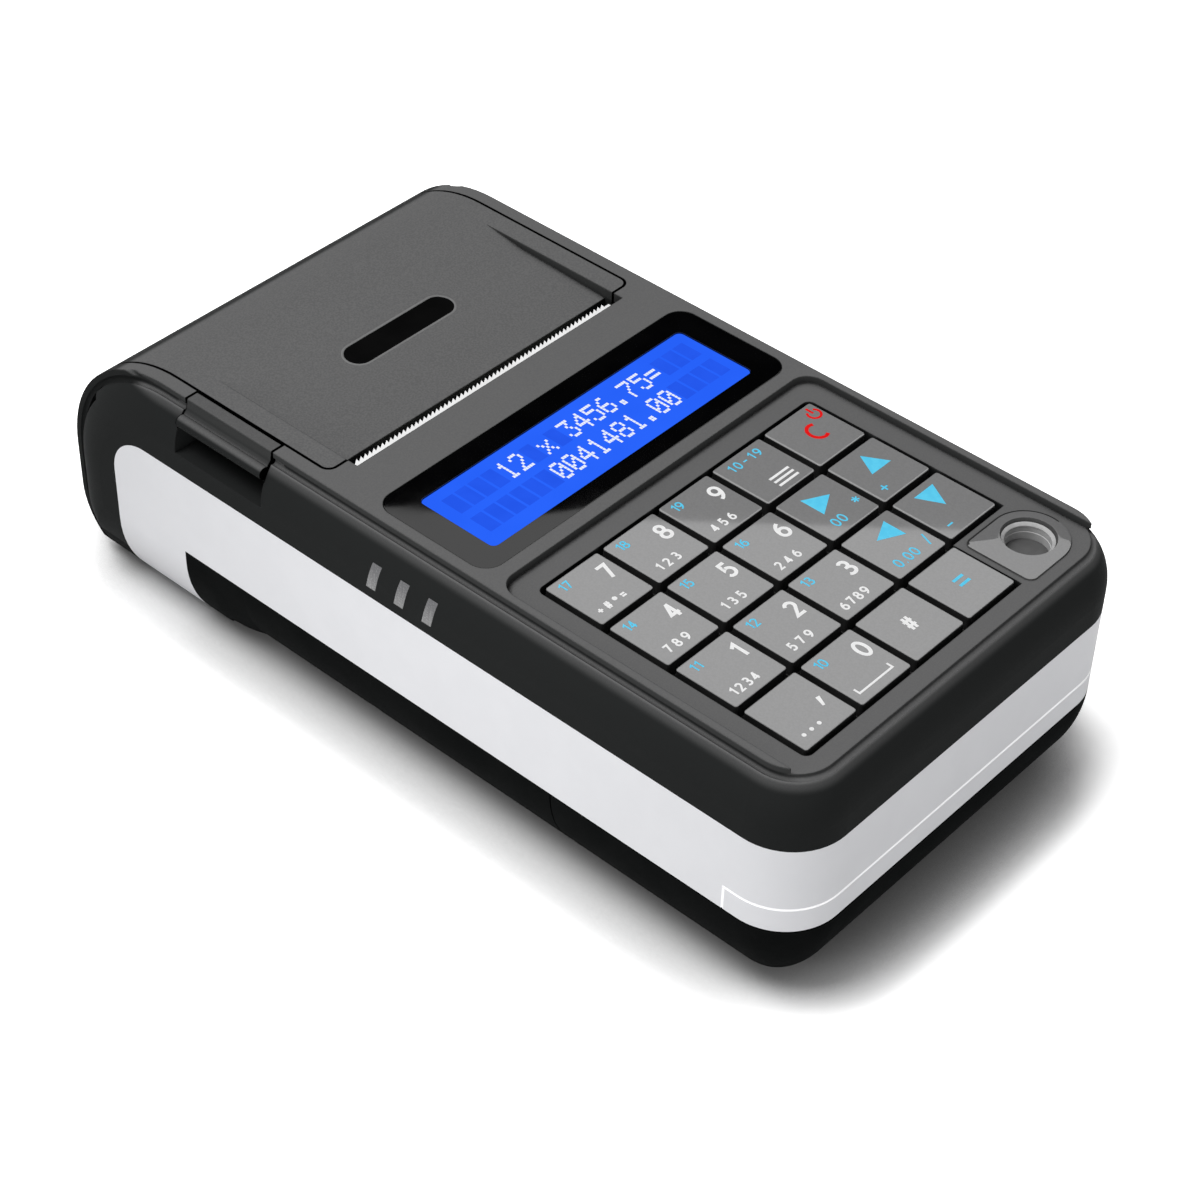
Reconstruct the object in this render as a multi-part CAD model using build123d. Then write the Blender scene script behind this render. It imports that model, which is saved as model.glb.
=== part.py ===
"""Hand-held ticket register with a keypad, a display and a receipt printer under a rear paper door.

Frame: origin on the table under the middle of the case, +X to the right of the keypad,
+Y towards the paper door, +Z up. Every piece is one STEP file in parts/.
"""
import os
from math import asin, atan2, cos, degrees, hypot, pi, radians, sin, tan

from build123d import *

# ---- Driving dimensions, in millimetres ----------------------------------------------------
body_height = 55.0
wall = 2.2
corner_radius = 12.2        # front corners, seen from above
roll_radius = 29.5          # rear end of the top face
heel_radius = 14.0          # rear end of the underside
belly_radius = 24.0         # rounded underside edges
upper_depth = 15.7          # how far the dark upper case reaches down
belly_split = 19.8          # lower edge of the pale band
front_floor = 3.8           # underside of the front half above the table
heel_drop = 2.8             # how much deeper the paper bay end hangs
ramp_length = 9.0           # where the underside drops towards the bay
ramp_setback = 7.1          # from its end to the cheek
rear_split = 9.0            # lower edge of the upper case at the back wall

rim_inset = 3.7             # top edge, inwards from the side of the case
rim_drop = 1.2              # straight part of the top edge
groove_inset = 4.2
groove_drop = 1.9
shoulder_radius = 13.25     # rounded shoulder below the groove
shoulder_drop = 11.0
shoulder_sweep = 40.0       # degrees
rim_wall = 2.0              # plastic left beside the groove

seam_gap = 0.3              # round a cover that moves
running_gap = 0.05          # round a shaft that turns
soft_gap = 0.3              # between pieces that pass each other

cheek_length = 19.5         # pale cheek beside the paper bay
cheek_corner = 9.7
cheek_depth = 9.5           # how far the cheek reaches under the case

key_pitch = 15.0
key_columns = 5
key_rows = 4
key_top = 13.3
key_base = 14.3
key_corner = 0.7
key_height = 3.0
key_flange = 1.0
key_sink = 1.2              # key tops below the top face
key_travel = 1.2
press_gap = 0.1             # left under a key that is pressed
key_stem_radius = 2.5
key_stem = 2.3              # reach of the stem below the flange
ring_radius = 4.5           # rubber ring round each stem
ring_height = 2.3
recess_depth = 1.65         # sunk keypad field
recess_corner = 4.0
well_margin = 1.15          # from a key top to the edge of the well
recess_border = 5.0         # from the well to the left and right edges of the sunk field
back_border = 4.75          # and to its rear edge
front_border = 7.9          # from the front of the case to the well
side_border = 5.2           # from the side of the case to the sunk field
mat_thickness = 1.2
board_thickness = 1.6

window_margin = 6.0         # from the side of the case to the window
window_width = 28.1
window_gap = 3.1            # from the sunk keypad field to the window
window_corner = 4.0
window_thickness = 1.6
window_fit = 0.1            # round the window in its pocket
display_length = 71.6
display_width = 18.6
display_thickness = 2.8
display_offset = 0.5        # from the middle of the window towards the keypad
glass_border = 1.0

door_margin = 7.0           # from the side of the case to the door
door_length = 70.0
door_corner = 2.0
door_rail = 4.6             # raised rail at each side of the door
door_dip = 2.55             # sunk middle of the door at the paper slot
knee_dip = 1.45             # and where its slope steepens
knee_setback = 24.5         # from the front edge of the door
dip_setback = 34.5
slot_step = 2.0             # the sunk middle of the door starts behind its rails
slot_gap = 9.85             # from the window to the tear bar
slot_length = 2.7           # from the tear bar to the rails of the door
hinge_radius = 2.6
hinge_pin_radius = 1.0
door_swing = 100.0          # degrees
hinge_middle = 38.0         # length of the fixed knuckle

badge_length = 27.8
badge_width = 5.9
badge_thickness = 0.8
badge_proud = 0.1
badge_setback = 22.8
striker_setback = 20.5
striker_length = 5.0
striker_width = 1.4
striker_drop = 3.3

platen_setback = 6.0
platen_depth = 10.5         # below the top face
platen_radius = 4.5
platen_margin = 6.2         # from the roller to the outside of the printer frame
platen_shaft_radius = 1.5
bush_radius = 3.0
bush_wall = 1.6
bracket_gap = 1.4           # from the roller to the bracket
gear_module = 0.5
gear_width = 2.4
platen_teeth = 20
reduction_teeth = 32
pinion_teeth = 12
gear_backlash = 0.2
motor_lean = 12.0           # degrees
axle_radius = 1.2
axle_cap = 0.6
motor_shaft_radius = 1.0
frame_margin = 11.8         # from the side of the case to the printer frame
frame_plate = 1.6
frame_ahead = 13.1          # from the platen to the front of the printer frame
frame_behind = 8.5
motor_gap = 0.6             # from the motor to the feet of the printer frame
frame_depth = 5.6           # its upper edge below the top face
frame_foot = 5.0
foot_plate = 1.2
notch_gap = 0.5
motor_radius = 9.0
motor_length = 18.0
motor_ear = 7.7
tear_margin = 1.75          # from the end of the slot to the tear bar
tear_thickness = 0.6
tear_tooth = 1.1
tear_reach = 1.6
tear_flange = 5.0
tear_lip = 0.8
tear_tip = 0.9
tear_shift = 1.65           # of its serrated edge towards the lever
head_border = 1.0           # roller beyond the end of the print head
head_height = 12.0
head_thickness = 3.2
spring_radius = 2.0
spring_wire = 0.5
spring_place = 16.0
spring_turns = 4

bay_radius = 22.0
bay_length = 60.0
bay_wall = 1.5
bay_setback = 31.0          # from the rear end
bay_lift = 1.8              # of its foot above the floor
bay_foot = 12.0
bay_depth = 19.0            # its rim below the top face

latch_setback = 11.6        # from the front edge of the door
latch_length = 23.0
latch_pin_radius = 0.75
latch_knuckle = 1.6
latch_gap = 0.1
pin_grip = 3.0
latch_spring_place = 2.4    # from the front end of the lever
latch_spring_length = 4.0
latch_spring_wire = 0.45
latch_spring_turns = 5
lip_depth = 5.4             # lower edge of the lever below the top face
lip_radius = 1.3
lip_inset = 1.8
finger_height = 5.2
finger_depth = 5.6

light_width = 2.3
light_height = 6.1
light_depth = 10.4          # middle of the lights below the top face
light_setback = 5.55        # first light in front of the window's rear edge
light_pitch = 7.0
light_lean = 1.5
light_count = 3

cover_length = 55.4
rail_thickness = 1.5
strip_height = 5.2
strip_length = 15.2
tongue_place = 20.0
tongue_width = 5.0
tongue_length = 14.0
deck_thickness = 2.0
battery_width = 60.0
battery_height = 11.0
battery_corner = 3.0
battery_gap = 1.3

foot_radius = 5.0
front_foot_setback = 19.5
rear_foot_setback = 23.5
foot_x = 28.0

seal_well_radius = 4.8
seal_well_depth = 3.2
seal_shift_x = 3.4          # from the middle of the missing key
seal_shift_y = -1.2
seal_wall = 1.0
seal_corner = 3.0
seal_inset = 1.5
seal_screw_head = 1.4
driver_slot = 0.7
post_radius = 3.4
post_web = 2.0
post_inset = 6.2            # from the side of the case to the two rear screws
post_gap = 12.0             # from the printer frame
front_post_inset = 7.0
front_post_setback = 25.5
screw_radius = 1.25
screw_head_radius = 2.6
screw_head = 1.2
boss_radius = 1.8
boss_inset = 8.1
board_margin = 11.0
board_z = 28.0
board_setback = 7.5
board_gap = 3.4             # from the main board to the printer frame
standoff_inset = 4.0
key_board_margin = 6.7
key_board_setback = 5.7
key_board_corner = 6.0
display_board_border = 2.0
memory_length = 22.0
memory_width = 20.0
memory_height = 6.0
memory_place = (17.0, -24.95)
socket_wall = 0.6
socket_length = 9.0
socket_gap = 0.5
socket_height = 4.8
usb_place = -12.0
usb_length = 8.0
usb_height = 4.0
serial_place = 1.0
serial_length = 13.0
power_place = 14.0
power_pin_radius = 0.5
contact_width = 0.8
contact_pitch = 2.0
contact_reach = 7.0
contact_count = 6

# ---- Values worked out from them -----------------------------------------------------------
well_half = (key_columns - 1) / 2 * key_pitch + key_top / 2 + well_margin
well_length = (key_rows - 1) * key_pitch + key_top + 2 * well_margin
recess_width = 2 * (well_half + recess_border)
body_width = recess_width + 2 * side_border
half_width = body_width / 2
keypad_end = front_border + well_length + back_border
body_length = keypad_end + window_gap + window_width + slot_gap + slot_length + door_length
front = -body_length / 2
rear = body_length / 2
well_front = front + front_border
well_back = well_front + well_length
first_row = well_back - well_margin - key_top / 2
recess_back = well_back + back_border
window_length = body_width - 2 * window_margin
window_middle = recess_back + window_gap + window_width / 2
display_middle = window_middle - display_offset
door_width = body_width - 2 * door_margin
door_front = rear - door_length
tear_base = door_front - slot_length
dip_knee = door_front + knee_setback
dip_end = door_front + dip_setback
badge_middle = door_front + badge_setback
striker_span = (door_front + striker_setback, door_front + striker_setback + striker_length)
platen_y = door_front + platen_setback
platen_z = body_height - platen_depth
frame_half = half_width - frame_margin
frame_inside = frame_half - frame_plate
frame_front = platen_y - frame_ahead
frame_rear = platen_y + frame_behind
frame_top = body_height - frame_depth
platen_length = 2 * (frame_half - platen_margin)
bracket_x = platen_length / 2 + bracket_gap
latch_front = door_front + latch_setback
latch_rear = latch_front + latch_length
lip_height = body_height - lip_depth
spring_front = latch_front + latch_spring_place
spring_span = (spring_front, spring_front + latch_spring_length)
cheek_front = latch_rear
cheek_rear = cheek_front + cheek_length
ramp_end = cheek_front - ramp_setback
ramp_start = ramp_end - ramp_length
shell_split = body_height - upper_depth
light_middle = body_height - light_depth
light_first = window_middle + window_width / 2 - light_setback
cover_seam = front + cover_length
strip_end = front + strip_length
corner_y = front + corner_radius
axis_x = -(half_width - corner_radius)
roll_y = rear - roll_radius
roll_z = body_height - roll_radius
rear_floor = front_floor - heel_drop
hinge_y = rear - hinge_radius
hinge_z = roll_z
bay_middle = rear - bay_setback
bay_height = rear_floor + wall + bay_lift + bay_radius
bay_rim = body_height - bay_depth
key_top_z = body_height - key_sink
key_floor_z = key_top_z - key_height - key_flange
keypad_floor = body_height - recess_depth
key_taper = degrees(atan2((key_base - key_top) / 2, key_height))
mat_z = key_floor_z - key_travel - press_gap - ring_height - mat_thickness
opening_half = door_width / 2 + seam_gap
hinge_pin_half = opening_half + wall - seam_gap
slot_half = door_width / 2 - door_rail
tear_length = 2 * (slot_half - tear_margin)
slot_rear = door_front + slot_step
deck_z = belly_split - deck_thickness
deck_half = half_width - 3 * wall
glass_length = display_length + 2 * glass_border
glass_width = display_width + 2 * glass_border
key_board_z = mat_z - board_thickness
lever_side = -opening_half - latch_gap
latch_x = lever_side - latch_knuckle
latch_z = body_height - latch_knuckle
platen_reach = hypot(platen_y - hinge_y, platen_z - hinge_z)
open_y = (platen_z - hinge_z) / platen_reach
open_z = (hinge_y - platen_y) / platen_reach
gear_distance = gear_module * (platen_teeth + reduction_teeth) / 2
motor_distance = gear_module * (reduction_teeth + pinion_teeth) / 2
reduction_y = platen_y - open_y * gear_distance
reduction_z = platen_z - open_z * gear_distance
motor_y = reduction_y + motor_distance * sin(radians(motor_lean))
motor_z = reduction_z - motor_distance * cos(radians(motor_lean))
frame_z = motor_z - motor_radius - motor_gap - foot_plate
battery_length = cover_length - 4 * wall - 2 * battery_gap
gear_x = frame_half + seam_gap
gear_end = gear_x + gear_width
board_half = half_width - board_margin
board_front = front + board_setback
board_rear = frame_front - board_gap
seal_left = (key_columns - 3) / 2 * key_pitch + key_base / 2 + seam_gap
seal_back = first_row - (key_rows - 2) * key_pitch - key_top / 2 - well_margin
seal_x = (key_columns - 1) / 2 * key_pitch + seal_shift_x
seal_y = first_row - (key_rows - 1) * key_pitch + seal_shift_y
socket_front = front + wall + socket_gap


def from_left(face_edges, y):
    """A face drawn in X and Z, standing at the given Y."""
    return make_face(Plane.XZ.offset(-y) * face_edges)


def from_side(face_edges, x=0.0):
    """A face drawn in Y and Z, standing at the given X."""
    return make_face(Plane.YZ.offset(x) * face_edges)


def block(x0, x1, y0, y1, z0, z1):
    """A box between two corners."""
    middle = Pos((x0 + x1) / 2, (y0 + y1) / 2, (z0 + z1) / 2)
    return middle * Box(x1 - x0, y1 - y0, z1 - z0)


standing = (Align.CENTER, Align.CENTER, Align.MIN)


def rod_x(x0, x1, y, z, radius):
    """A round bar along X."""
    return Pos(x0, y, z) * Rot(0, 90, 0) * Cylinder(radius, x1 - x0, align=standing)


def rod_y(y0, y1, x, z, radius):
    """A round bar along Y."""
    return Pos(x, y0, z) * Rot(-90, 0, 0) * Cylinder(radius, y1 - y0, align=standing)


def rod_z(z0, z1, x, y, radius):
    """A round bar along Z."""
    return Pos(x, y, z0) * Cylinder(radius, z1 - z0, align=standing)


def both_sides(shape):
    """The shape and its mirror image across the middle of the case."""
    return shape + mirror(shape, Plane.YZ)


def plate(length, width, radius, thickness, x, y, z):
    """A flat plate with rounded corners, its lower face at z."""
    return Pos(x, y, z) * extrude(RectangleRounded(length, width, radius), thickness)


# ---- The outer form ------------------------------------------------------------------------
def rim_line(inset):
    """Upper part of the left edge of the case, from the side wall to the top face."""
    top = body_height - inset
    if inset > 0:
        upright = -half_width + rim_inset + rim_wall
        bend = body_height - shoulder_drop
        return Polyline((-half_width + inset, bend - inset), (upright, bend + rim_wall), (upright, top))
    middle = (-half_width + shoulder_radius, body_height - shoulder_drop)
    shoulder = CenterArc(middle, shoulder_radius, 180, -shoulder_sweep)
    rim_foot = (-half_width + rim_inset, body_height - rim_drop)
    groove = ThreePointArc(shoulder @ 1, (-half_width + groove_inset, body_height - groove_drop), rim_foot)
    return shoulder + groove + Line(rim_foot, (-half_width + rim_inset, top))


def edge_outline(inset, drop, inner_x):
    """Outline of the case wall from inner_x out to the left side, lowered by drop at the belly."""
    top = body_height - inset
    floor = front_floor - drop + inset
    belly_z = belly_split - drop
    belly_x = -half_width + belly_radius
    radius = belly_radius - inset
    turn = degrees(asin((belly_z - floor) / radius))
    belly = CenterArc((belly_x, belly_z), radius, 180 + turn, -turn)
    rim = rim_line(inset)
    rim_start = rim.edges().sort_by(Axis.Y)[0] @ 0
    side = Line((-half_width + inset, belly_z), (rim_start.X, rim_start.Y))
    rim_end = (-half_width + rim_inset + (rim_wall if inset > 0 else 0), top)
    return belly + side + rim + Line(rim_end, (inner_x, top)) + Line((inner_x, top), (inner_x, floor)) + Line(
        (inner_x, floor), belly @ 0)


def side_trim(inset):
    """Everything between the top face, the rolled rear end and the heel."""
    top = body_height - inset
    floor = rear_floor + inset
    ahead = front - wall
    heel_y = rear - heel_radius
    heel_z = rear_floor + heel_radius
    roll = CenterArc((roll_y, roll_z), roll_radius - inset, 90, -90)
    heel = CenterArc((heel_y, heel_z), heel_radius - inset, 0, -90)
    outline = Line((ahead, top), roll @ 0) + roll + Line(roll @ 1, heel @ 0) + heel
    outline += Line(heel @ 1, (ahead, floor)) + Line((ahead, floor), (ahead, top))
    return extrude(from_side(outline), body_width, both=True)


def rim_waste():
    """What the shoulder and groove take away along the rolled rear end and the heel."""
    rim = rim_line(0)
    outside = half_width + wall
    above = body_height + wall
    bend = body_height - shoulder_drop
    lid = Polyline((-half_width + rim_inset, body_height), (-half_width + rim_inset, above), (-outside, above),
                   (-outside, bend), (-half_width, bend))
    face = from_left(rim + lid, roll_y)
    roll = revolve(face, Axis((0, roll_y, roll_z), (-1, 0, 0)), 90)
    turned = face.rotate(Axis((0, roll_y, roll_z), (1, 0, 0)), -90)
    heel_z = rear_floor + heel_radius
    upright = extrude(turned, roll_z - heel_z, dir=(0, 0, -1))
    lowered = turned.moved(Location((0, 0, heel_z - roll_z)))
    heel = revolve(lowered, Axis((0, rear - heel_radius, heel_z), (-1, 0, 0)), 90)
    return both_sides(roll + upright + heel)


def case_body(inset):
    """The whole case as one solid, every face moved inwards by inset."""
    edge = from_left(edge_outline(inset, 0, axis_x), corner_y)
    corner_axis = Axis((axis_x, corner_y, 0), (0, 0, 1))
    side = extrude(edge, rear - corner_y, dir=(0, 1, 0))
    corner = revolve(edge, corner_axis, 90)
    nose = extrude(edge.rotate(corner_axis, 90), -2 * axis_x, dir=(1, 0, 0))
    core = block(axis_x, -axis_x, corner_y, rear, front_floor + inset, body_height - inset)
    lower_section = edge_outline(inset, heel_drop, 0)
    ramp = loft([from_left(edge_outline(inset, 0, 0), ramp_start), from_left(lower_section, ramp_end)])
    bay_end = extrude(from_left(lower_section, ramp_end), rear - ramp_end, dir=(0, 1, 0))
    body = both_sides(side + corner) + nose + core + both_sides(ramp) + both_sides(bay_end)
    body = body & side_trim(inset)
    if inset == 0:
        body -= rim_waste()
    return body


def band_region():
    """Where the pale band lies, seen from the side, with its cheek beside the paper bay."""
    turn = CenterArc((cheek_rear - cheek_corner, shell_split - cheek_corner), cheek_corner, 90, -90)
    below = -wall
    ahead = front - wall
    outline = Line((ahead, shell_split), turn @ 0) + turn
    outline += Polyline(turn @ 1, (cheek_rear, below), (cheek_front, below), (cheek_front, belly_split),
                        (ahead, belly_split), (ahead, shell_split))
    return extrude(from_side(outline), body_width, both=True)


def belly_core():
    """The middle of the underside, which the cheeks leave to the lower case."""
    inner = half_width - cheek_depth
    return block(-inner, inner, cheek_front - wall, cheek_rear + wall, -wall, belly_split)


outer = case_body(0)
inner = case_body(wall)
skin = outer - inner


# ---- Openings that several pieces share ----------------------------------------------------
def key_places():
    """Column, row and middle of every key; the last column of the front row is the seal plate."""
    for row in range(key_rows):
        for column in range(key_columns):
            if (column, row) != (key_columns - 1, key_rows - 1):
                x = (column - (key_columns - 1) / 2) * key_pitch
                yield column, row, x, first_row - row * key_pitch


def key_well():
    """The opening that all the keys stand in."""
    depth = wall + recess_depth + 2
    low = body_height - depth
    middle = (well_back + well_front) / 2
    opening = plate(2 * well_half, well_back - well_front, 1.5, depth + 1, 0, middle, low)
    land = block(seal_left, well_half + wall, well_front - wall, seal_back, low, body_height + 1)
    return opening - land


def keypad_recess():
    """The sunk field round the keys, open towards the front."""
    length = recess_back - front + recess_corner
    middle = recess_back - length / 2
    return plate(recess_width, length, recess_corner, recess_depth + 1, 0, middle, keypad_floor)


def door_prism(gap):
    """The block of space that the paper door takes up, seen from above, grown by gap."""
    half = door_width / 2 + gap
    start = door_front - gap
    length = rear + wall - start + door_corner
    return plate(2 * half, length, door_corner + gap, body_height, 0, start + length / 2, hinge_z)


def swing_room(x0, x1):
    """Round clearance about the door's axis, which one half of the hinge leaves for the other."""
    return rod_x(x0, x1, hinge_y, hinge_z, hinge_radius / cos(radians(door_swing / 2)) + seam_gap)


def latch_prism(gap):
    """The block of the left shoulder that the latch lever fills."""
    inside = -opening_half
    return block(-half_width - wall, inside, latch_front - gap, latch_rear + gap, lip_height - gap,
                 body_height + wall)


def save(shape, name):
    """Write one piece to its file."""
    export_step(shape, f"parts/{name}.step")


os.makedirs("parts", exist_ok=True)


# ---- Case shells ---------------------------------------------------------------------------
post_places = [
    (half_width - post_inset, frame_rear + post_gap),
    (half_width - post_inset, frame_front - post_gap / 2),
    (half_width - front_post_inset, front + front_post_setback),
]
board_boss_places = [(half_width - boss_inset, first_row + n * key_pitch) for n in (0, -2)]
post_top = key_board_z - soft_gap
screw_top = post_top - soft_gap


def upper_case():
    """Dark upper shell: top face, shoulders, and the whole rear end."""
    above = block(-body_width, body_width, front - wall, rear + wall, shell_split, body_height + wall)
    behind = block(-body_width, body_width, cheek_front, rear + wall, rear_split, body_height)
    shell = skin & (above + behind - band_region())
    shell -= belly_core()
    shell -= keypad_recess()
    shell += block(-recess_width / 2, recess_width / 2, front, recess_back + wall, keypad_floor - wall,
                   keypad_floor) & inner
    window_z = body_height - window_thickness
    shell += block(-window_length / 2 - wall, window_length / 2 + wall, window_middle - window_width / 2 - wall,
                   window_middle + window_width / 2 + wall, window_z - wall, body_height) & inner
    shell -= key_well()
    shell -= plate(window_length, window_width, window_corner, window_thickness + 1, 0, window_middle, window_z)
    shell -= plate(glass_length + 2 * seam_gap, glass_width + 2 * seam_gap, seam_gap, body_height, 0,
                   display_middle, window_z - 2 * wall)
    shell -= door_prism(seam_gap)
    shell -= block(-slot_half, slot_half, tear_base, slot_rear, hinge_z, body_height + wall)
    shell -= latch_prism(seam_gap)
    finger_floor = lip_height - seam_gap - finger_height
    pocket = block(-half_width, -half_width + finger_depth + wall, latch_front - seam_gap - wall,
                   latch_rear + seam_gap + wall, finger_floor - wall, lip_height - seam_gap)
    shell += pocket & outer
    shell -= block(-half_width - 1, -half_width + finger_depth, latch_front - seam_gap, latch_rear + seam_gap,
                   finger_floor, lip_height)
    for y in light_places():
        shell -= light_window(y, 0)
    shell -= both_sides(swing_room(hinge_middle / 2, opening_half))
    shell += rod_x(-hinge_middle / 2, hinge_middle / 2, hinge_y, hinge_z, hinge_radius) + hinge_lugs()
    shell -= rod_x(-hinge_pin_half, hinge_pin_half, hinge_y, hinge_z, hinge_pin_radius)
    for x, y in post_places:
        web = block(x, half_width, y - post_web / 2, y + post_web / 2, shell_split, post_top)
        post = rod_z(shell_split, post_top, x, y, post_radius) + web
        shell += both_sides(post & inner)
        shell -= both_sides(rod_z(0, screw_top, x, y, screw_radius))
    for x, y in board_boss_places:
        boss = rod_z(key_board_z + board_thickness, keypad_floor - wall / 2, x, y, boss_radius)
        shell += both_sides(boss & inner)
    shell -= rod_z(0, body_height, seal_x, seal_y, seal_well_radius + seal_wall)
    shell -= rod_y(latch_front - pin_grip, latch_rear + pin_grip, latch_x, latch_z, latch_pin_radius)
    return shell


def hinge_lugs():
    """Lugs inside the case that hold the ends of the door's pin."""
    lug = block(opening_half, opening_half + wall, hinge_y - hinge_radius, rear, hinge_z - hinge_radius,
                hinge_z + hinge_radius)
    return both_sides(lug & outer)


def light_places():
    """Y of each of the three status lights."""
    return [light_first - n * light_pitch for n in range(light_count)]


def light_window(y, gap):
    """One slanting light window in the left wall."""
    low = light_middle - light_height / 2 - gap
    high = light_middle + light_height / 2 + gap
    half = light_width / 2 + gap
    lean = light_lean / 2
    corners = [(y + lean - half, low), (y + lean + half, low), (y - lean + half, high), (y - lean - half, high)]
    face = from_side(Polyline(*corners, close=True), -half_width)
    return extrude(face, 3 * wall, both=True)


def port_region(gap):
    """The strip low on the front that covers the sockets, grown by gap."""
    return block(-body_width, body_width, front - wall, strip_end + gap, belly_split - gap,
                 belly_split + strip_height + gap)


def side_band():
    """Pale band round both sides and the front, with a cheek at each side of the paper bay."""
    band = (skin & band_region()) - belly_core()
    return band - port_region(seam_gap)


def screw_seat(y):
    """Height of the shoulder that the head of a case screw bears on."""
    return deck_z + screw_head if y < cover_seam else front_floor + 3 * wall


def lower_case():
    """Dark lower shell under the paper bay and the board, with the deck over the battery."""
    behind_seam = block(-body_width, body_width, cover_seam, rear + wall, -wall, belly_split)
    end_wall = block(-body_width, body_width, cheek_rear, rear + wall, rear_split, belly_split)
    shell = (skin & (behind_seam - band_region() - end_wall)) + (skin & belly_core())
    shell += block(-deck_half, deck_half, front + 2 * wall, cover_seam + wall, deck_z, belly_split)
    shell += block(-half_width, half_width, cover_seam, cover_seam + wall, front_floor, belly_split) & inner
    for x, y in post_places:
        low = deck_z if y < cover_seam else rear_floor
        post = rod_z(low, shell_split, x, y, post_radius) & (inner + behind_seam)
        hole = rod_z(rear_floor - 1, shell_split, x, y, screw_radius + running_gap)
        head = rod_z(rear_floor - 1, screw_seat(y), x, y, screw_head_radius + running_gap)
        shell = shell + both_sides(post & outer) - both_sides(hole + head)
    for y in (board_front + standoff_inset, cover_seam - standoff_inset, board_rear - standoff_inset):
        low = front_floor + wall / 2 if y > cover_seam else deck_z
        shell += both_sides(rod_z(low, board_z, board_half - standoff_inset, y, boss_radius))
    for y in (frame_front + standoff_inset, frame_rear - standoff_inset):
        foot = rod_z(front_floor + wall / 2, frame_z, frame_inside - boss_radius, y, boss_radius + 1)
        shell += both_sides(foot)
    return shell


def battery_cover():
    """Dark front part of the underside, which slides off forwards over the battery."""
    region = block(-body_width, body_width, front - wall, cover_seam - seam_gap, -wall, belly_split - seam_gap)
    cover = skin & region
    rail = block(-half_width + wall / 2, wall - deck_half, front + corner_radius, cover_seam - seam_gap,
                 deck_z - soft_gap - rail_thickness, deck_z - soft_gap)
    return cover + both_sides(rail & outer)


def port_cover():
    """Pale strip that covers the sockets, with two tongues that hold it."""
    strip = skin & port_region(0)
    strip -= block(-body_width, body_width, strip_end, rear, 0, body_height)
    low = belly_split + soft_gap
    tongue = block(tongue_place, tongue_place + tongue_width, front + wall / 2, front + tongue_length, low,
                   low + rail_thickness)
    return strip + both_sides(tongue)


# ---- Paper door ----------------------------------------------------------------------------
def dip_space(drop, half):
    """Space over the sunk middle of the door, its floor lowered by drop."""
    top = body_height - drop
    outline = Polyline((tear_base, top - door_dip), (dip_knee, top - knee_dip), (dip_end, top),
                       (dip_end, body_height + 1), (tear_base, body_height + 1), close=True)
    return extrude(from_side(outline), half, both=True)


def paper_door():
    """Dark door over the paper roll, with brackets for the platen and two hinge barrels."""
    hinge_gap = hinge_middle / 2 + seam_gap
    door = skin & door_prism(0)
    door -= swing_room(-hinge_gap, hinge_gap)
    barrel = rod_x(hinge_gap, door_width / 2, hinge_y, hinge_z, hinge_radius)
    door += both_sides(barrel) + (dip_space(wall, slot_half + wall) & door_limit())
    door -= dip_space(0, slot_half)
    door -= block(-slot_half, slot_half, tear_base, slot_rear, hinge_z, body_height + 1)
    door += both_sides(platen_bracket())
    door += block(-door_width / 2, -door_width / 2 + striker_width, *striker_span,
                  body_height - wall / 2 - striker_drop, body_height - wall / 2)
    door -= rod_x(-half_width, half_width, hinge_y, hinge_z, hinge_pin_radius + running_gap)
    return door - badge_column(badge_thickness)


def door_limit():
    """The door's own block below the top face, which bounds what is added under it."""
    return door_prism(0) & block(-half_width, half_width, front, rear, hinge_z, body_height - wall / 2)


def platen_bracket():
    """Bracket under the right side of the door that holds one end of the platen."""
    arm_half = bush_radius + bush_wall
    arm = block(bracket_x, bracket_x + wall, platen_y - arm_half, platen_y + arm_half, platen_z,
                body_height - door_dip - wall / 2) & block(0, half_width, slot_rear, rear, 0, body_height)
    eye = rod_x(bracket_x, bracket_x + wall, platen_y, platen_z, arm_half)
    return arm + eye - rod_x(bracket_x - 1, bracket_x + wall + 1, platen_y, platen_z, bush_radius)


def badge_column(depth):
    """Space over the badge, down to depth below the sunk middle of the door."""
    low = body_height - door_dip - depth
    column = plate(badge_length, badge_width, badge_width / 2.001, body_height - low, 0, badge_middle, low)
    return column & dip_space(depth, half_width)


def badge_plate():
    """Small bare plate on the sunk middle of the door, following its slope."""
    return badge_column(badge_thickness) - dip_space(-badge_proud, half_width)


def platen_bushes():
    """Two bushes in the brackets of the door."""
    bush = rod_x(bracket_x, bracket_x + wall, platen_y, platen_z, bush_radius)
    return both_sides(bush - rod_x(0, half_width, platen_y, platen_z, platen_shaft_radius + running_gap))


# ---- Printer ---------------------------------------------------------------------------
def gear(teeth, bore, y, z, tooth_angle):
    """Spur gear with its axis along X and one tooth at the given angle in Y and Z."""
    pitch = gear_module * teeth / 2
    thick = (pi * gear_module / 2 - gear_backlash) / 2
    taper = gear_module * tan(radians(20))
    corners = []
    for n in range(teeth):
        middle = tooth_angle + 2 * pi * n / teeth
        for side, radius, half in ((-1, pitch - 1.2 * gear_module, thick + taper),
                                   (-1, pitch + 0.8 * gear_module, thick - 0.8 * taper),
                                   (1, pitch + 0.8 * gear_module, thick - 0.8 * taper),
                                   (1, pitch - 1.2 * gear_module, thick + taper)):
            angle = middle + side * half / radius
            corners.append((y + radius * cos(angle), z + radius * sin(angle)))
    blank = extrude(from_side(Polyline(*corners, close=True), gear_x), gear_width, dir=(1, 0, 0))
    return blank - rod_x(gear_x - 1, gear_end + 1, y, z, bore)


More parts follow.
